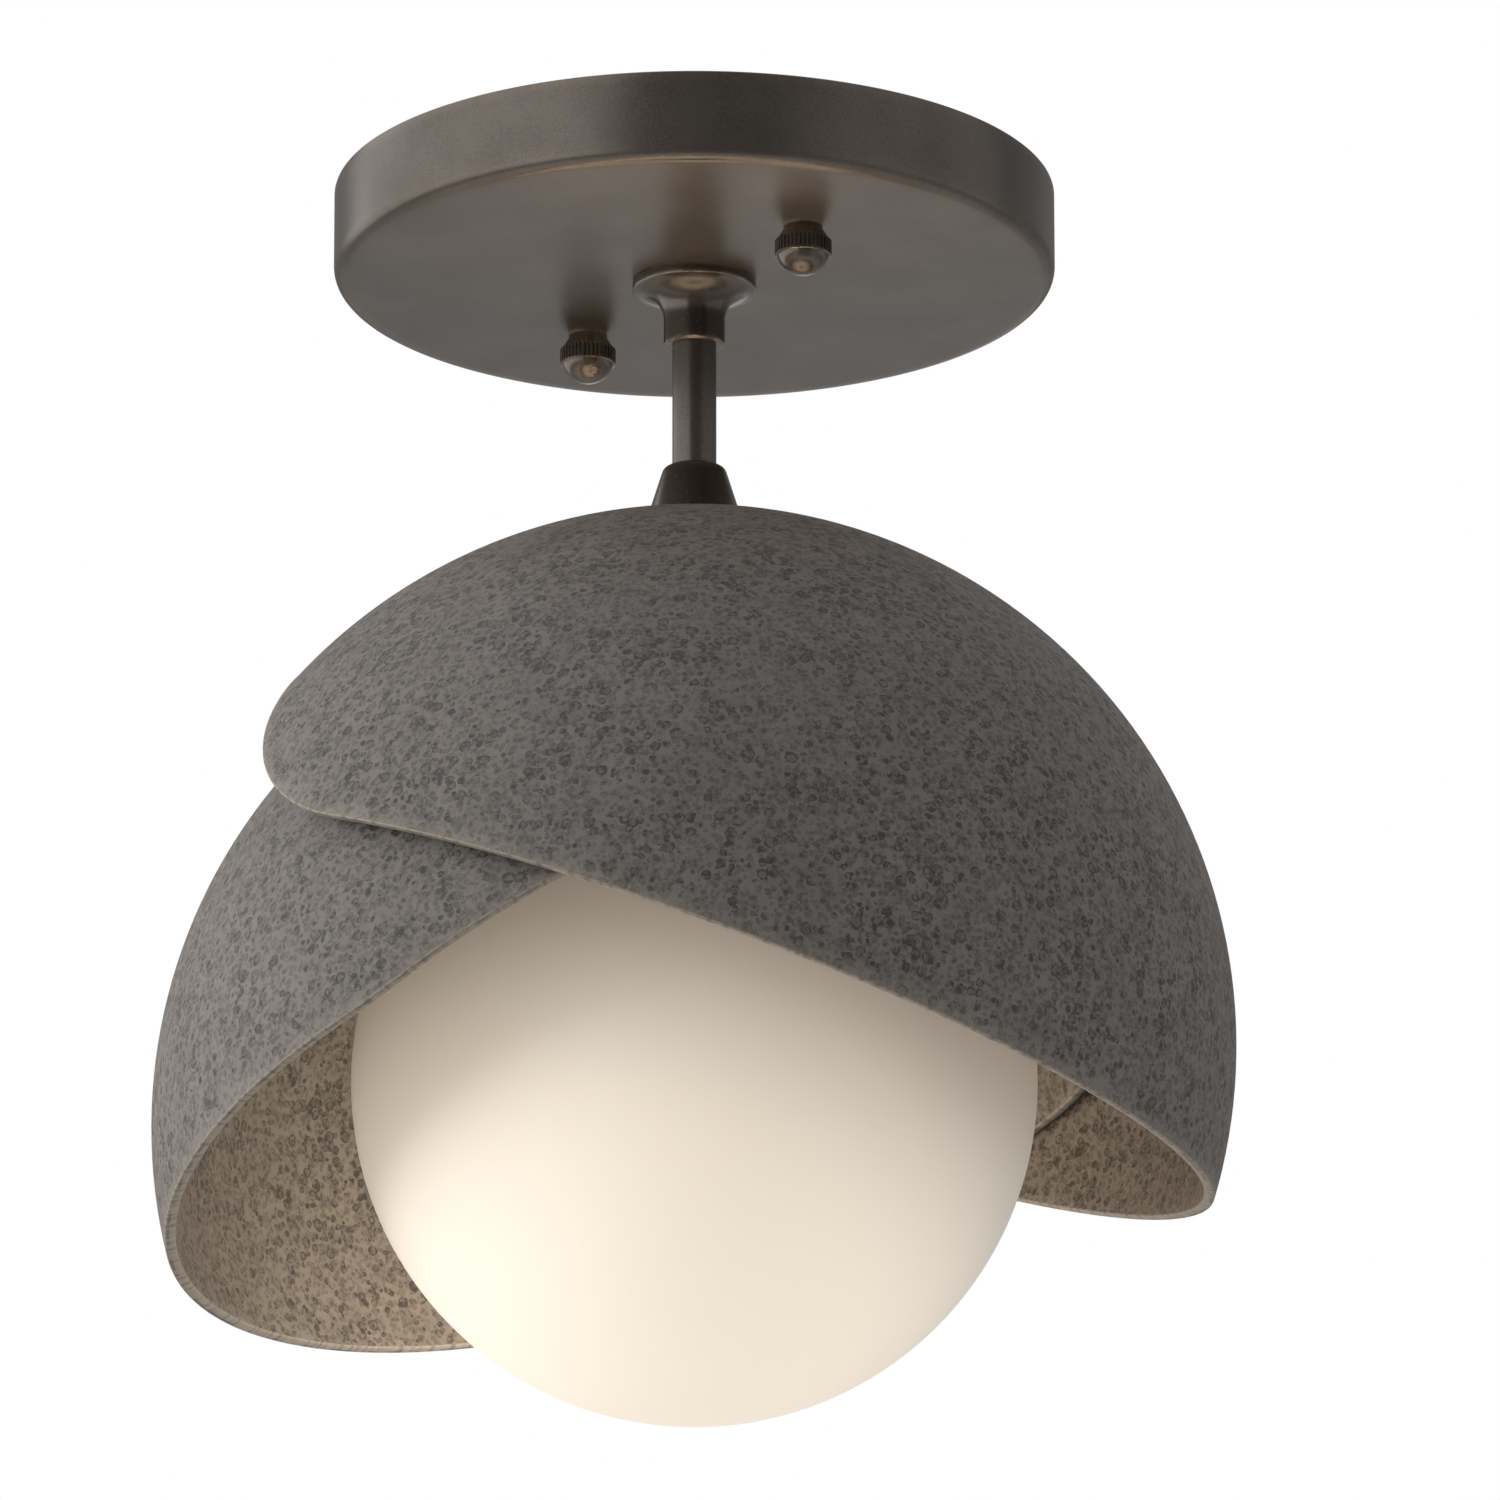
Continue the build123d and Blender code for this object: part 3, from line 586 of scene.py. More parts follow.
def makeCanopy(look):
    low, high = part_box("canopy")
    radius, depth = high.x / mm, low.z / mm
    edge, lip, wall = look["lowerEdge"], look["rimEdge"], look["wall"]
    outline = (
        [(look["hole"], depth), (radius - edge - look["edgeStart"], depth)]
        + arc(radius - edge, depth + edge, edge, -90, 0, 10)
        + arc(radius - lip, -lip, lip, 0, 90, 3)
        + [(radius - wall, 0.0), (radius - wall, depth + edge)]
        + arc(radius - edge, depth + edge, edge - wall, 0, -90, 5)
        + [(look["hole"], depth + wall)]
    )
    dress(turnedPiece("canopyPan", outline, bronze, segments=256, longest=2.0), "fixture", "bronze", "canopy")


collarLook = {
    "flange": 1.9,
    "neck": 5.5,
    "bore": 4.0,
    "chamfer": 0.4,
    "coveStop": 0.3,
    "lowerRound": 0.25,
    "upperRound": 0.5,
}


def makeCollar(look):
    low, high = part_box("collar")
    flangeRadius, top, bottom = high.x / mm, high.z / mm, low.z / mm
    flangeBottom = top - look["flange"]
    neck, bore, chamfer = look["neck"], look["bore"], look["chamfer"]
    lower, upper = look["lowerRound"], look["upperRound"]
    cove = flangeRadius - neck - look["coveStop"]
    outline = (
        [(bore, top), (bore, bottom), (neck - chamfer, bottom), (neck, bottom + chamfer)]
        + arc(neck + cove, flangeBottom - cove, cove, 180, 90, 16)
        + arc(flangeRadius - lower, flangeBottom + lower, lower, -90, 0, 3)
        + arc(flangeRadius - upper, top - upper, upper, 0, 90, 4)
    )
    dress(turnedPiece("stemCollar", outline, darkBronze, longest=0.6), "fixture", "bronze", "collar")


def makeStem(wall=0.95):
    low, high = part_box("stem")
    radius, top, bottom = high.x / mm, high.z / mm, low.z / mm
    outline = [(radius - wall, top), (radius - wall, bottom), (radius, bottom), (radius, top)]
    dress(turnedPiece("stemTube", outline, bronze, segments=96, longest=3.0), "fixture", "bronze", "stem")


cupLook = {"shoulder": 1.3, "shoulderIn": 0.9, "topRadius": 5.45, "bore": 4.0, "footChamfer": 0.2}


def makeCup(look):
    low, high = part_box("shade_cup")
    base, top, bottom = high.x / mm, high.z / mm, low.z / mm
    topRadius, shoulder, chamfer = look["topRadius"], look["shoulder"], look["footChamfer"]
    lean = math.degrees(math.atan2(base - topRadius, top - bottom))
    outline = (
        [(look["bore"], top), (look["bore"], bottom), (base - chamfer, bottom), (base, bottom + chamfer)]
        + arc(topRadius - look["shoulderIn"], top - shoulder, shoulder, lean, 90, 7)
    )
    dress(turnedPiece("shadeCup", outline, darkBronze, longest=0.7), "fixture", "bronze", "shade_cup")


globeSize = {
    "radius": 60.5,
    "centre": -166.3,
    "wall": 2.6,
    "neck": 20.9,
    "fillet": 3.0,
    "bead": 22.3,
    "beadRound": 0.7,
    "beadHeight": 2.6,
    "beadFoot": 2.5,  # above the foot of the holder
}


def makeGlobe(size):
    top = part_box("globe")[1].z / mm
    radius, wall, neck, fillet = size["radius"], size["wall"], size["neck"], size["fillet"]
    beadHeight, beadRound = size["beadHeight"], size["beadRound"]
    # the fillet rolls between the neck and the ball
    filletR = neck + fillet
    filletZ = size["centre"] + math.sqrt((radius + fillet) ** 2 - filletR**2)
    touch = math.degrees(math.atan2(filletZ - size["centre"], filletR))
    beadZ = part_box("globe_holder")[0].z / mm + size["beadFoot"]
    inside = math.degrees(math.acos((neck - wall) / (radius - wall)))
    outline = (
        arc(0, size["centre"], radius, -90, touch, 110)
        + arc(filletR, filletZ, fillet, 180 + touch, 180, 8)[1:]
        + [(neck, beadZ)]
        + arc(size["bead"] - beadRound, beadZ + beadRound, beadRound, -90, 0, 4)
        + arc(size["bead"] - beadRound, beadZ + beadHeight - beadRound, beadRound, 0, 90, 4)
        + [(neck, beadZ + beadHeight)]
        + arc(neck - wall / 2, top - wall / 2, wall / 2, 0, 180, 8)
        + arc(0, size["centre"], radius - wall, inside, -90, 80)
    )
    ball = turnedPiece("opalGlobe", outline, opalGlass, segments=192, longest=4.0)
    dress(ball, "globe", "opal_glass", "globe")


makeCanopy(canopyLook)
makeCollar(collarLook)
makeStem()
makeCup(cupLook)
makeGlobe(globeSize)
print("turned pieces made")


def growPiece(name, tree, values, base=None):
    mesh = base or bpy.data.meshes.new(name + "Seed")
    seed = bpy.data.objects.new(name + "Seed", mesh)
    bpy.context.scene.collection.objects.link(seed)
    modifier = seed.modifiers.new("grow", "NODES")
    modifier.node_group = tree
    identifiers = {
        item.name: item.identifier for item in tree.interface.items_tree
        if item.item_type == "SOCKET" and item.in_out == "INPUT"
    }
    for socketName, value in values.items():
        modifier[identifiers[socketName]] = value
    bpy.context.view_layer.update()
    grown = seed.evaluated_get(bpy.context.evaluated_depsgraph_get())
    baked = bpy.data.meshes.new_from_object(grown)
    bpy.data.objects.remove(seed)
    baked.name = name
    return baked


def joinGeometry(tree, *pieces):
    # a join takes its last link first
    joined = tree.nodes.new("GeometryNodeJoinGeometry")
    for piece in reversed(pieces):
        tree.links.new(piece, joined.inputs[0])
    return joined.outputs[0]


def realAndCoated(tree, geometry, finish):
    real = put(tree, "GeometryNodeRealizeInstances", {"Geometry": geometry})
    return put(tree, "GeometryNodeSetMaterial", {"Geometry": real.outputs[0], "Material": finish}).outputs[0]


def makeRimGroup():
    # where a shade's rim meets a sphere: the rim's outline from the side, carried out to both sides
    tree, given, out = newTree(
        "rimOnSphere",
        "GeometryNodeTree",
        {
            "Turn": 0.0,
            "Radius": 0.1,
            "Slope": 0.37,
            "Low reach": 0.1,
            "Low height": 0.0,
            "Back reach": -0.06,
            "Corner": 0.03,
            "Knee reach": 0.02,
            "Knee lift": 0.0,
            "Knee roundness": 0.1,
        },
        [("Place", "NodeSocketVector"), ("Direction", "NodeSocketVector"), ("Polar", "NodeSocketFloat"),
         ("Outward", "NodeSocketVector")],
    )
    rise = calc(tree, "TANGENT", given["Slope"])
    # the line is z = level - rise * x, which meets x^2 + z^2 = radius^2 at the low end
    level = calc(tree, "MULTIPLY_ADD", rise, given["Low reach"], given["Low height"])
    squares = calc(tree, "MULTIPLY_ADD", rise, rise, 1.0)
    inner = times(tree, squares, squared(tree, given["Radius"]))
    inner = calc(tree, "SQRT", calc(tree, "SUBTRACT", inner, squared(tree, level)))
    lowX = calc(tree, "DIVIDE", calc(tree, "ADD", times(tree, rise, level), inner), squares)
    lowZ = calc(tree, "SUBTRACT", level, times(tree, rise, lowX))
    cornerZ = calc(tree, "SUBTRACT", level, times(tree, rise, given["Back reach"]))
    topZ = otherLeg(tree, given["Radius"], given["Back reach"])
    kneeZ = calc(tree, "SUBTRACT", level, times(tree, rise, given["Knee reach"]))
    raisedZ = calc(tree, "ADD", cornerZ, given["Knee lift"])
    lowPoint = joinXyz(tree, lowX, 0.0, lowZ)
    knee = joinXyz(tree, given["Knee reach"], 0.0, kneeZ)
    corner = joinXyz(tree, given["Back reach"], 0.0, cornerZ)
    raisedCorner = joinXyz(tree, given["Back reach"], 0.0, raisedZ)
    top = joinXyz(tree, given["Back reach"], 0.0, topZ)
    # one full turn runs up one side of the outline and back down the other
    share = calc(tree, "MULTIPLY_ADD", calc(tree, "COSINE", given["Turn"]), -0.5, 0.5)

    def byIndex(kind, values):
        chosen = put(tree, "GeometryNodeIndexSwitch", data_type=kind)
        for _ in range(len(values) - 2):
            chosen.index_switch_items.new()  # it comes with two
        feed(tree, chosen.inputs["Index"], put(tree, "GeometryNodeInputIndex").outputs[0])
        for index, value in enumerate(values):
            feed(tree, chosen.inputs[index + 1], value)
        return chosen.outputs[0]

    def sampledLine(points, roundness):
        line = put(tree, "GeometryNodeMeshLine", {"Count": len(points)}, mode="OFFSET").outputs[0]
        places = byIndex("VECTOR", points)
        placed = put(tree, "GeometryNodeSetPosition", {"Geometry": line, "Position": places}).outputs[0]
        sideLine = put(tree, "GeometryNodeMeshToCurve", {"Mesh": placed}).outputs[0]
        rounding = {"Curve": sideLine, "Radius": roundness, "Count": 40}
        rounded = put(tree, "GeometryNodeFilletCurve", rounding, mode="POLY").outputs[0]
        where = {"Curves": rounded, "Factor": share}
        return put(tree, "GeometryNodeSampleCurve", where, mode="FACTOR").outputs

    straight = sampledLine([lowPoint, corner, top], given["Corner"])
    radii = byIndex("FLOAT", [0.0, given["Knee roundness"], given["Corner"], 0.0])
    bent = sampledLine([lowPoint, knee, raisedCorner, top], radii)
    # the bend is on the side of the turn where the sine is above zero
    bentSide = times(tree, calc(tree, "GREATER_THAN", calc(tree, "SINE", given["Turn"]), 0.0),
                    calc(tree, "GREATER_THAN", given["Knee lift"], 0.0))
    sample = {}
    for name in ("Position", "Tangent"):
        sample[name] = put(
            tree, "GeometryNodeSwitch",
            {"Switch": bentSide, "False": straight[name], "True": bent[name]},
            input_type="VECTOR",
        ).outputs[0]
    side = splitXyz(tree, sample["Position"])
    inPlane = calc(tree, "ADD", squared(tree, side["X"]), squared(tree, side["Z"]))
    left = calc(tree, "SUBTRACT", squared(tree, given["Radius"]), inPlane)
    depth = calc(tree, "SQRT", calc(tree, "MAXIMUM", left, 0.0))
    across = times(tree, depth, calc(tree, "SIGN", calc(tree, "SINE", given["Turn"])))
    place = joinXyz(tree, side["X"], across, side["Z"])
    flat = joinXyz(tree, side["X"], across, 0.0)
    run = splitXyz(tree, sample["Tangent"])
    feed(tree, out["Place"], place)
    feed(tree, out["Direction"], vectorCalc(tree, "NORMALIZE", flat))
    feed(tree, out["Polar"], calc(tree, "ARCCOSINE", calc(tree, "DIVIDE", side["Z"], given["Radius"])))
    feed(tree, out["Outward"], joinXyz(tree, times(tree, run["Z"], -1.0), 0.0, run["X"]))
    return tree


rimGroup = makeRimGroup()


def makeShadeTree():
    tree, given, out = newTree(
        "domeShade",
        "GeometryNodeTree",
        {
            "Radius": 0.0956,
            "Wall": 0.002,
            "Centre height": -0.159,
            "Shift": 0.0,
            "Low angle": 0.0,
            "Slope": 0.367,
            "Low reach": 0.094,
            "Low height": -0.03,
            "Back reach": -0.0612,
            "Corner": 0.034,
            "Knee reach": 0.02,
            "Knee lift": 0.0,
            "Knee roundness": 0.1,
            "Rim roundness": 0.0004,
            "Seat radius": 0.009,
            "Seat hole": 0.0051,
            "Columns": 385,
            "Rows": 61,
            "Finish": "NodeSocketMaterial",
        },
        [("Geometry", "NodeSocketGeometry")],
    )
    innerRadius = calc(tree, "SUBTRACT", given["Radius"], given["Wall"])

    def patch(rows):
        # a flat grid whose X runs round the shade and whose Y runs across the patch
        sizes = {"Size X": 1.0, "Size Y": 1.0, "Vertices X": given["Columns"], "Vertices Y": rows}
        grid = put(tree, "GeometryNodeMeshGrid", sizes)
        spot = splitXyz(tree, put(tree, "GeometryNodeInputPosition").outputs[0])
        turn = times(tree, calc(tree, "ADD", spot["X"], 0.5), 2 * math.pi)
        return grid, turn, calc(tree, "ADD", spot["Y"], 0.5)

    def rimAt(radius, turn):
        shared = ("Slope", "Low reach", "Low height", "Back reach", "Corner", "Knee reach", "Knee lift")
        values = {name: given[name] for name in shared + ("Knee roundness",)}
        return useGroup(tree, rimGroup, "GeometryNodeGroup", Turn=turn, Radius=radius, **values)

    def onBall(radius, direction, polar):
        outwards = times(tree, radius, calc(tree, "SINE", polar))
        upwards = times(tree, radius, calc(tree, "COSINE", polar))
        flat = scaled(tree, direction, outwards)
        return vectorCalc(tree, "ADD", flat, joinXyz(tree, 0.0, 0.0, upwards))

    def finished(grid, position, rimDistance, rimFace, inside):
        # the grid's own map and values are stored before it is bent
        geometry = grid.outputs["Mesh"]
        geometry = put(
            tree, "GeometryNodeStoreNamedAttribute",
            {"Geometry": geometry, "Name": "UVMap", "Value": grid.outputs["UV Map"]},
            data_type="FLOAT2", domain="CORNER",
        ).outputs[0]
        marks = (
            ("rimDistance", rimDistance, "POINT"),
            ("rimFace", rimFace, "FACE"),
            ("inside", inside, "FACE"),
        )
        for name, value, domain in marks:
            geometry = put(
                tree, "GeometryNodeStoreNamedAttribute",
                {"Geometry": geometry, "Name": name, "Value": value},
                data_type="FLOAT", domain=domain,
            ).outputs[0]
        return put(tree, "GeometryNodeSetPosition", {"Geometry": geometry, "Position": position}).outputs[0]

    parts = []
    for radius, inside in ((given["Radius"], 0.0), (innerRadius, 1.0)):
        grid, turn, down = patch(given["Rows"])
        rim = rimAt(radius, turn)
        seat = calc(tree, "ARCSINE", calc(tree, "DIVIDE", given["Seat radius"], radius))
        span = calc(tree, "SUBTRACT", rim["Polar"], seat)
        polar = calc(tree, "MULTIPLY_ADD", span, down, seat)
        left = times(tree, span, calc(tree, "SUBTRACT", 1.0, down))
        left = times(tree, left, times(tree, radius, 1 / mm))
        parts.append(finished(grid, onBall(radius, rim["Direction"], polar), left, 0.0, inside))

    def squarer(value, power=0.6):
        # a power below 1 makes the bar squarer than a circle
        return calc(tree, "POWER", calc(tree, "ABSOLUTE", value), power)

    # the rim's own face, a rounded bar from the outer wall to the inner one
    grid, turn, across = patch(9)
    outerRim = rimAt(given["Radius"], turn)
    innerRim = rimAt(innerRadius, turn)
    sweepAngle = times(tree, across, math.pi)
    cosine = calc(tree, "COSINE", sweepAngle)
    wide = times(tree, calc(tree, "SIGN", cosine), squarer(cosine))
    proud = times(tree, squarer(calc(tree, "SINE", sweepAngle)), given["Rim roundness"])
    places = (outerRim["Place"], innerRim["Place"])
    middle = scaled(tree, vectorCalc(tree, "ADD", *places), 0.5)
    halfWide = scaled(tree, vectorCalc(tree, "SUBTRACT", *places), 0.5)
    bar = vectorCalc(tree, "ADD", middle, scaled(tree, halfWide, wide))
    bar = vectorCalc(tree, "ADD", bar, scaled(tree, outerRim["Outward"], proud))
    parts.append(finished(grid, bar, 0.0, 1.0, 0.0))

    # the flat seat at the top and the hole through it: four rows, the middle two at the hole
    seatRows = 4
    middleRow = (seatRows - 1) / 2
    farFromRim = 50.0
    grid, turn, inwards = patch(seatRows)
    outerRim = rimAt(given["Radius"], turn)
    innerRim = rimAt(innerRadius, turn)
    step = calc(tree, "ROUND", times(tree, inwards, seatRows - 1.0))
    below = calc(tree, "GREATER_THAN", step, middleRow)
    atHole = calc(tree, "COMPARE", step, middleRow, 0.75)
    toHole = calc(tree, "SUBTRACT", given["Seat hole"], given["Seat radius"])
    reach = calc(tree, "MULTIPLY_ADD", atHole, toHole, given["Seat radius"])
    outerTop = otherLeg(tree, given["Radius"], given["Seat radius"])
    innerTop = otherLeg(tree, innerRadius, given["Seat radius"])
    height = calc(tree, "MULTIPLY_ADD", below, calc(tree, "SUBTRACT", innerTop, outerTop), outerTop)
    turned = vectorCalc(tree, "SUBTRACT", innerRim["Direction"], outerRim["Direction"])
    turned = scaled(tree, turned, below)
    direction = vectorCalc(tree, "NORMALIZE", vectorCalc(tree, "ADD", outerRim["Direction"], turned))
    # the hole stays on the stem when the ball's centre is off it
    holeShift = times(tree, times(tree, atHole, given["Shift"]), -1.0)
    flat = scaled(tree, direction, reach)
    seatPlace = vectorCalc(tree, "ADD", flat, joinXyz(tree, holeShift, 0.0, height))
    parts.append(finished(grid, seatPlace, farFromRim, 0.0, 0.0))

    welding = {"Geometry": joinGeometry(tree, *parts), "Distance": 0.00001}
    welded = put(tree, "GeometryNodeMergeByDistance", welding).outputs[0]
    lowAngle = given["Low angle"]
    moved = [times(tree, given["Shift"], calc(tree, part, lowAngle)) for part in ("COSINE", "SINE")]
    hanging = {
        "Geometry": welded,
        "Translation": joinXyz(tree, *moved, given["Centre height"]),
        "Rotation": joinXyz(tree, 0.0, 0.0, lowAngle),
    }
    hung = put(tree, "GeometryNodeTransform", hanging).outputs[0]
    feed(tree, out["Geometry"], realAndCoated(tree, hung, given["Finish"]))
    return tree


shadeTree = makeShadeTree()
# lengths in millimetres, angles in degrees
shadeSizes = {
    "outer_shade": {
        "Radius": 95.6, "Centre height": -159.3, "Shift": 0.0, "Low angle": -17.3, "Low height": -30.1,
        "Slope": 21.05, "Knee lift": 0.0,
    },
    "inner_shade": {
        "Radius": 94.4, "Centre height": -174.2, "Shift": 1.3, "Low angle": 156.9, "Low height": -25.9,
        "Slope": 19.6, "Knee lift": 14.9,
    },
}


def makeShade(node, name):
    values = {"Finish": shadeFinish}
    for size, value in shadeSizes[node].items():
        values[size] = math.radians(value) if size in ("Low angle", "Slope") else value * mm
    piece = closeUp(name, growPiece(name, shadeTree, values))
    dress(piece, "fixture", "shade_finish", node)
    return piece


domes = [makeShade("outer_shade", "outerDome"), makeShade("inner_shade", "innerDome")]
print("shades grown")


def makeRibTree():
    # fine upright ribs round a barrel, added to the turned nut
    tree, given, out = newTree(
        "ribbedBarrel",
        "GeometryNodeTree",
        {
            "Geometry": "NodeSocketGeometry",
            "Count": 40,
            "Barrel radius": 0.0048,
            "Rib radius": 0.00025,
            "Length": 0.0022,
            "Place": (0, 0, 0),
            "Finish": "NodeSocketMaterial",
        },
        [("Geometry", "NodeSocketGeometry")],
    )
    ring = put(tree, "GeometryNodeMeshCircle", {"Vertices": given["Count"], "Radius": given["Barrel radius"]})
    bar = {"Vertices": 8, "Radius": given["Rib radius"], "Depth": given["Length"]}
    rib = put(tree, "GeometryNodeMeshCylinder", bar).outputs[0]
    spread = {"Points": ring.outputs[0], "Instance": rib}
    ribs = put(tree, "GeometryNodeInstanceOnPoints", spread).outputs[0]
    ribs = put(tree, "GeometryNodeTransform", {"Geometry": ribs, "Translation": given["Place"]}).outputs[0]
    ribbed = joinGeometry(tree, given["Geometry"], ribs)
    feed(tree, out["Geometry"], realAndCoated(tree, ribbed, given["Finish"]))
    return tree


ribTree = makeRibTree()
# heights are measured down from the nut's top
nutLook = {
    "neck": 3.5,
    "neckFoot": 0.5,
    "barrel": 4.8,
    "barrelTop": 2.7,
    "barrelFoot": 5.2,
    "lip": 0.12,
    "lipChamfer": 0.1,
    "groove": 0.4,
    "dome": 4.6,
    "thread": 2.1,
    "threadDepth": 6.8,
    "ribs": 40,
    "ribRadius": 0.26,
}


def makeNut(node, name, look):
    low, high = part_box(node)
    centre = ((low.x + high.x) / 2, (low.y + high.y) / 2)
    top, bottom = high.z / mm, low.z / mm
    barrelTop, barrelBottom = top - look["barrelTop"], top - look["barrelFoot"]
    domeTop = barrelBottom - look["groove"]
    domeHeight = domeTop - bottom
    curve = (look["dome"] ** 2 + domeHeight**2) / (2 * domeHeight)
    half = math.degrees(math.asin(look["dome"] / curve))
    neck, barrel, thread = look["neck"], look["barrel"], look["thread"]
    lipRadius = barrel + look["lip"]
    threadEnd = top - look["threadDepth"]
    outline = (
        arc(0, bottom + curve, curve, -90, -90 + half, 16)
        + [(lipRadius, domeTop + look["lip"]), (lipRadius, barrelBottom)]
        + [(barrel, barrelBottom + look["lipChamfer"]), (barrel, barrelTop)]
        + [(neck, top - look["neckFoot"]), (neck, top)]
        + [(thread, top), (thread, threadEnd), (0, threadEnd)]
    )
    plain = turnedPiece(name + "Plain", outline, darkBronze, centre, segments=80, longest=0.5)
    mesh = plain.data
    bpy.data.objects.remove(plain)
    values = {
        "Count": look["ribs"],
        "Barrel radius": look["barrel"] * mm,
        "Rib radius": look["ribRadius"] * mm,
        "Length": (barrelTop - barrelBottom) * mm,
        "Place": (centre[0], centre[1], (barrelTop + barrelBottom) / 2 * mm),
        "Finish": darkBronze,
    }
    baked = growPiece(name, ribTree, values, mesh)
    baked.set_sharp_from_angle(angle=sharpAngle)
    piece = bpy.data.objects.new(name, baked)
    bpy.context.scene.collection.objects.link(piece)
    dress(piece, node, "bronze", node)


makeNut("cap_nut_near", "capNutNear", nutLook)
makeNut("cap_nut_far", "capNutFar", nutLook)
print("cap nuts made")


def makeWorld(level=0.30):
    world = bpy.data.worlds.new("softRoom")
    world.use_nodes = True
    tree = world.node_tree
    back = tree.nodes["Background"]
    path = put(tree, "ShaderNodeLightPath").outputs
    mirrored = calc(tree, "MAXIMUM", path["Is Glossy Ray"], path["Is Transmission Ray"])
    seen = calc(tree, "MAXIMUM", path["Is Camera Ray"], mirrored)
    back.inputs["Color"].default_value = (1, 1, 1, 1)
    tree.links.new(ease(tree, seen, 0.0, 1.0, level, 1.0), back.inputs["Strength"])
    bpy.context.scene.world = world


def makeFloor(height=-1.6, size=12.0, seenPaler=0.6):
    bpy.ops.mesh.primitive_plane_add(size=size, location=(0, 0, height))
    floor = bpy.context.object
    floor.name = "paleFloor"
    material, tree, surface = newMaterial("paleFloor")
    surface.inputs["Base Color"].default_value = (0.86, 0.86, 0.85, 1)
    surface.inputs["Roughness"].default_value = 0.9
    # the camera sees it paler than it lights the room, and the light's shadow stays on it
    surface.inputs["Emission Color"].default_value = (1, 1, 1, 1)
    seen = put(tree, "ShaderNodeLightPath").outputs["Is Camera Ray"]
    tree.links.new(times(tree, seen, seenPaler), surface.inputs["Emission Strength"])
    # seen from underneath it is clear, so that it never hides the light
    below = put(tree, "ShaderNodeNewGeometry").outputs["Backfacing"]
    clear = put(tree, "ShaderNodeBsdfTransparent")
    either = put(tree, "ShaderNodeMixShader", {0: below, 1: surface.outputs[0], 2: clear.outputs[0]})
    tree.links.new(either.outputs[0], tree.nodes["Material Output"].inputs["Surface"])
    floor.data.materials.append(material)


# heading runs from the camera's side (0) round by the left (90), lift is the angle above level
lamps = {
    "leftSoftbox": {
        "heading": 88, "lift": 6, "far": 1.9, "size": 1.4, "power": 39.0, "colour": (1.0, 0.985, 0.965),
    },
    "backRight": {"heading": 222, "lift": 30, "far": 2.0, "size": 1.0, "power": 11.0, "colour": (1, 1, 1)},
    "rightFill": {"heading": 262, "lift": 0, "far": 2.0, "size": 1.2, "power": 3.5, "colour": (1, 1, 1)},
    "backLight": {
        "heading": 180, "lift": 14, "far": 2.2, "size": 0.8, "power": 18.0, "colour": (1.0, 0.96, 0.90),
    },
    "frontHigh": {"heading": 0, "lift": 35, "far": 2.0, "size": 1.2, "power": 4.5, "colour": (1, 1, 1)},
    "frontLow": {
        "heading": -38, "lift": -22, "far": 2.0, "size": 1.0, "power": 2.6, "colour": (1.0, 1.0, 0.96),
    },
}
# the lit lamp inside the globe, seen on the shades' inner walls and in the metal
globeGlow = {
    "wallPlace": (-0.022, 0.046, -0.190),
    "metalPlace": (0.0, 0.0, -0.1663),
    "radius": 0.030,
    "onWalls": 0.46,
    "inMetal": 3.4,
    "wallColour": (1, 0.91, 0.78),
    "metalColour": (1, 0.81, 0.60),
}
metalNames = ("canopyPan", "stemCollar", "stemTube", "shadeCup", "capNutNear", "capNutFar")
# boards seen only in reflections: they shape the bright and dark bands on the metal
boards = {
    "leftBoard": {
        "headings": (24, 138), "lifts": (-20, 55), "strength": 1.42, "colour": (1.0, 0.985, 0.965),
    },
    "backLeftFlag": {
        "headings": (138, 176), "lifts": (-8, 60), "strength": 0.22, "colour": (1.0, 0.98, 0.96),
    },
    "frontFlag": {
        "headings": (-36, 24), "lifts": (-70, 60), "strength": 0.22, "colour": (1.0, 0.94, 0.88),
    },
    "rightFlag": {
        "headings": (-112, -36), "lifts": (-8, 55), "strength": 0.54, "colour": (1.0, 0.97, 0.95),
    },
    "backRightFlag": {
        "headings": (-172, -112), "lifts": (-8, 60), "strength": 0.26, "colour": (1.0, 0.97, 0.95),
    },
}
aimHeight = -0.12


def towards(heading, lift, far):
    side = math.cos(math.radians(lift)) * far
    angle = math.radians(heading)
    return (-side * math.sin(angle), -side * math.cos(angle), aimHeight + far * math.sin(math.radians(lift)))


def makeLamp(name, look):
    data = bpy.data.lights.new(name, "AREA")
    data.shape = "SQUARE"
    data.size = look["size"]
    data.energy = look["power"]
    data.color = look["colour"]
    lamp = bpy.data.objects.new(name, data)
    lamp.location = towards(look["heading"], look["lift"], look["far"])
    lamp.rotation_euler = (Vector((0, 0, aimHeight)) - lamp.location).to_track_quat("-Z", "Y").to_euler()
    lamp.visible_camera = False
    lamp.visible_glossy = False
    bpy.context.scene.collection.objects.link(lamp)


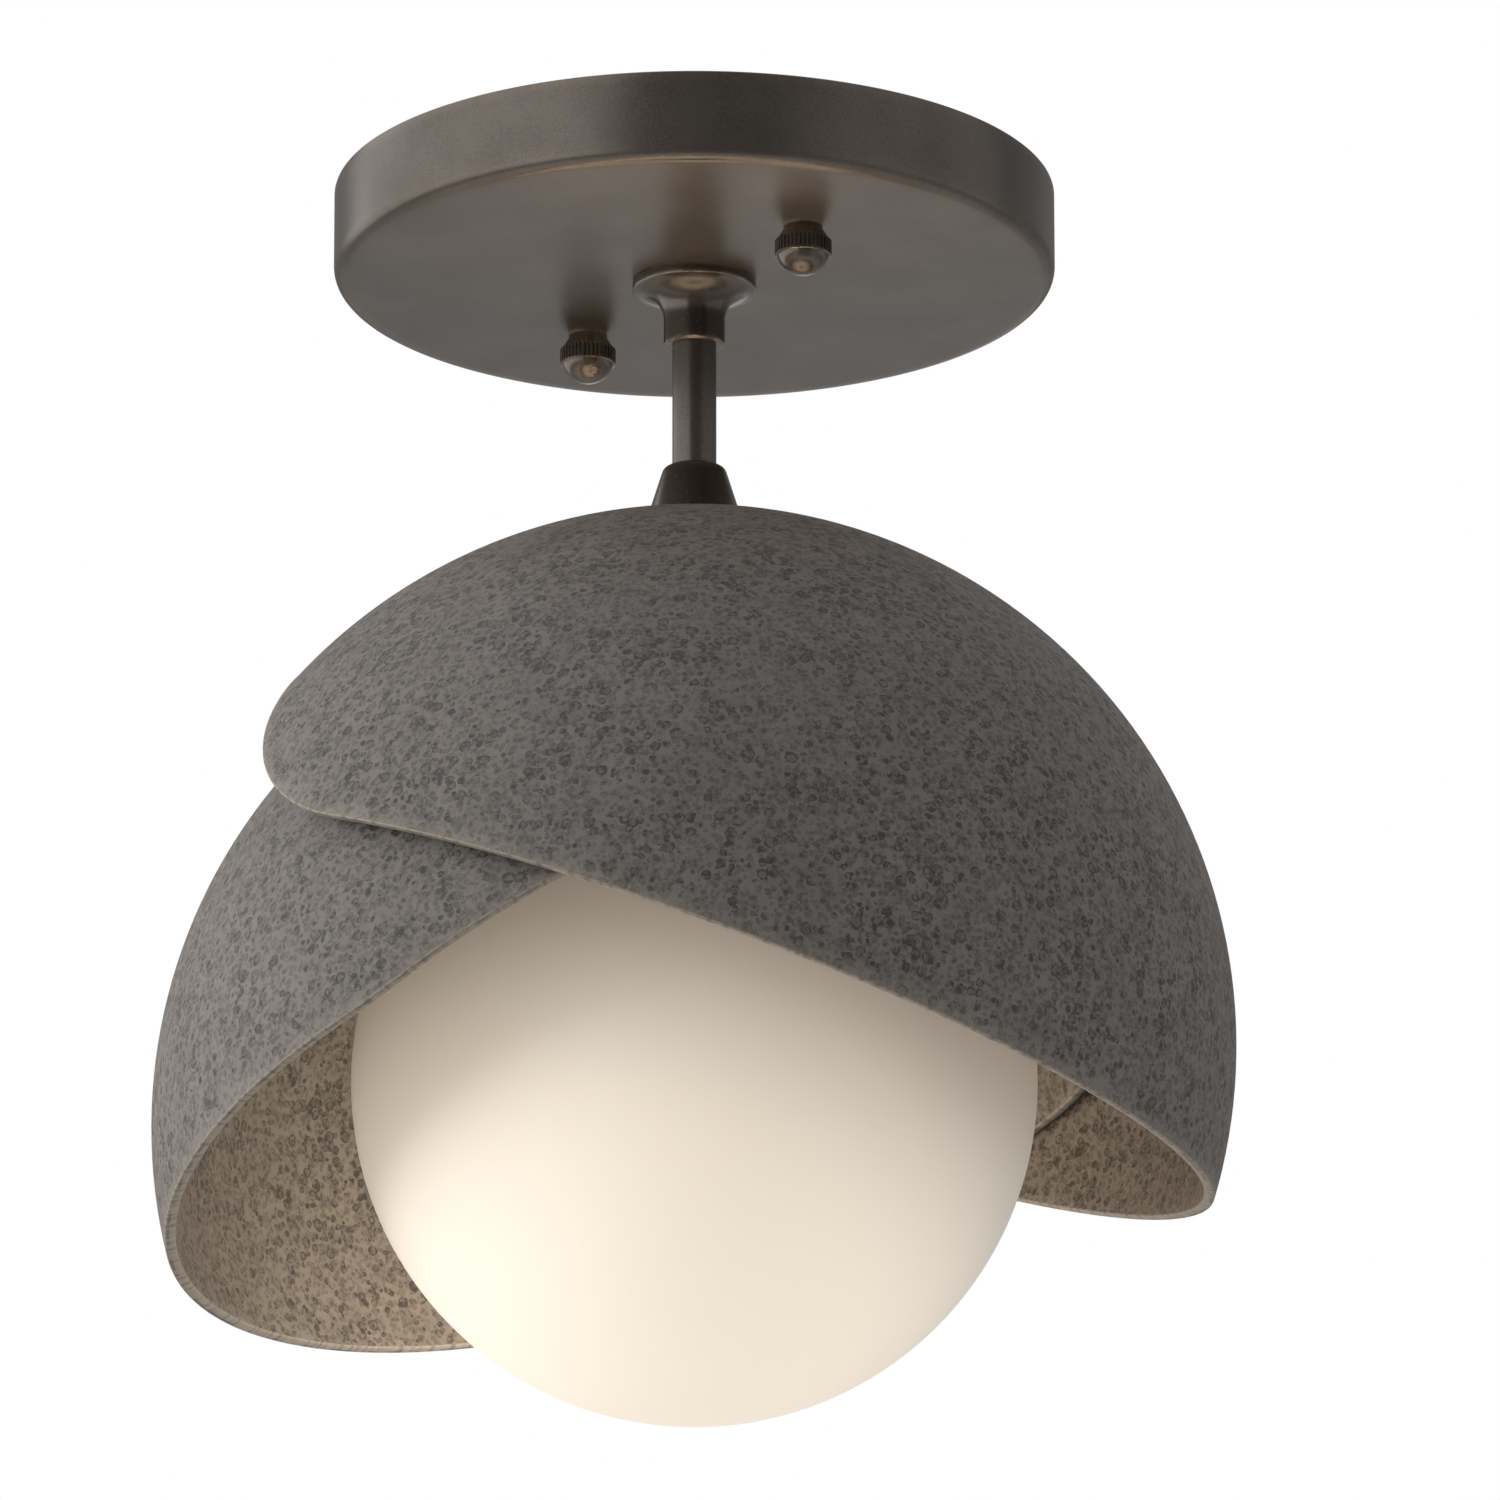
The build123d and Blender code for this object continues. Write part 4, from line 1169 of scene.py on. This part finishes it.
def makeBoard(name, verts, faces, strength, colour):
    mesh = bpy.data.meshes.new(name)
    mesh.from_pydata(verts, [], faces)
    material, _, surface = newMaterial(name)
    surface.inputs["Base Color"].default_value = (0, 0, 0, 1)
    surface.inputs["Specular IOR Level"].default_value = 0.0
    surface.inputs["Emission Color"].default_value = colour + (1,)
    surface.inputs["Emission Strength"].default_value = strength
    mesh.materials.append(material)
    board = bpy.data.objects.new(name, mesh)
    for kind in ("camera", "diffuse", "transmission", "volume_scatter", "shadow"):
        setattr(board, "visible_" + kind, False)
    bpy.context.scene.collection.objects.link(board)


def makeCurvedBoard(name, look, far=2.1, steps=24, rows=6):
    first, last = look["headings"]
    low, high = look["lifts"]
    points = rows + 1  # up each column
    verts = []
    for step in range(steps + 1):
        heading = first + (last - first) * step / steps
        verts += [towards(heading, low + (high - low) * row / rows, far) for row in range(points)]
    corners = [column * points + row for column in range(steps) for row in range(rows)]
    faces = [(corner, corner + 1, corner + points + 1, corner + points) for corner in corners]
    makeBoard(name, verts, faces, look["strength"], look["colour"])


def makeGlow(name, radius, power, place, colour):
    data = bpy.data.lights.new(name, "POINT")
    data.shadow_soft_size = radius
    data.energy = power
    data.color = colour
    lamp = bpy.data.objects.new(name, data)
    lamp.location = place
    bpy.context.scene.collection.objects.link(lamp)
    return lamp


def gather(name, pieces):
    group = bpy.data.collections.new(name)
    for piece in pieces:
        group.objects.link(piece)
    return group


def lightFromGlobe(glow, opaque, metal):
    radius = glow["radius"]
    onWalls = makeGlow("glowOnWalls", radius, glow["onWalls"], glow["wallPlace"], glow["wallColour"])
    onWalls.visible_glossy = False
    onWalls.light_linking.blocker_collection = opaque  # its light passes through the glass
    inMetal = makeGlow("glowInMetal", radius, glow["inMetal"], glow["metalPlace"], glow["metalColour"])
    inMetal.visible_diffuse = False
    inMetal.data.use_shadow = False
    inMetal.light_linking.receiver_collection = metal


opaqueNearGlow = gather("opaqueNearGlow", domes)
metalAbove = gather("metalAbove", [bpy.data.objects[name] for name in metalNames])
makeWorld()
makeFloor()
for name, look in lamps.items():
    makeLamp(name, look)
for name, look in boards.items():
    makeCurvedBoard(name, look)
lightFromGlobe(globeGlow, opaqueNearGlow, metalAbove)
print("room, lamps and boards made")

bpy.context.scene.view_settings.view_transform = "Standard"
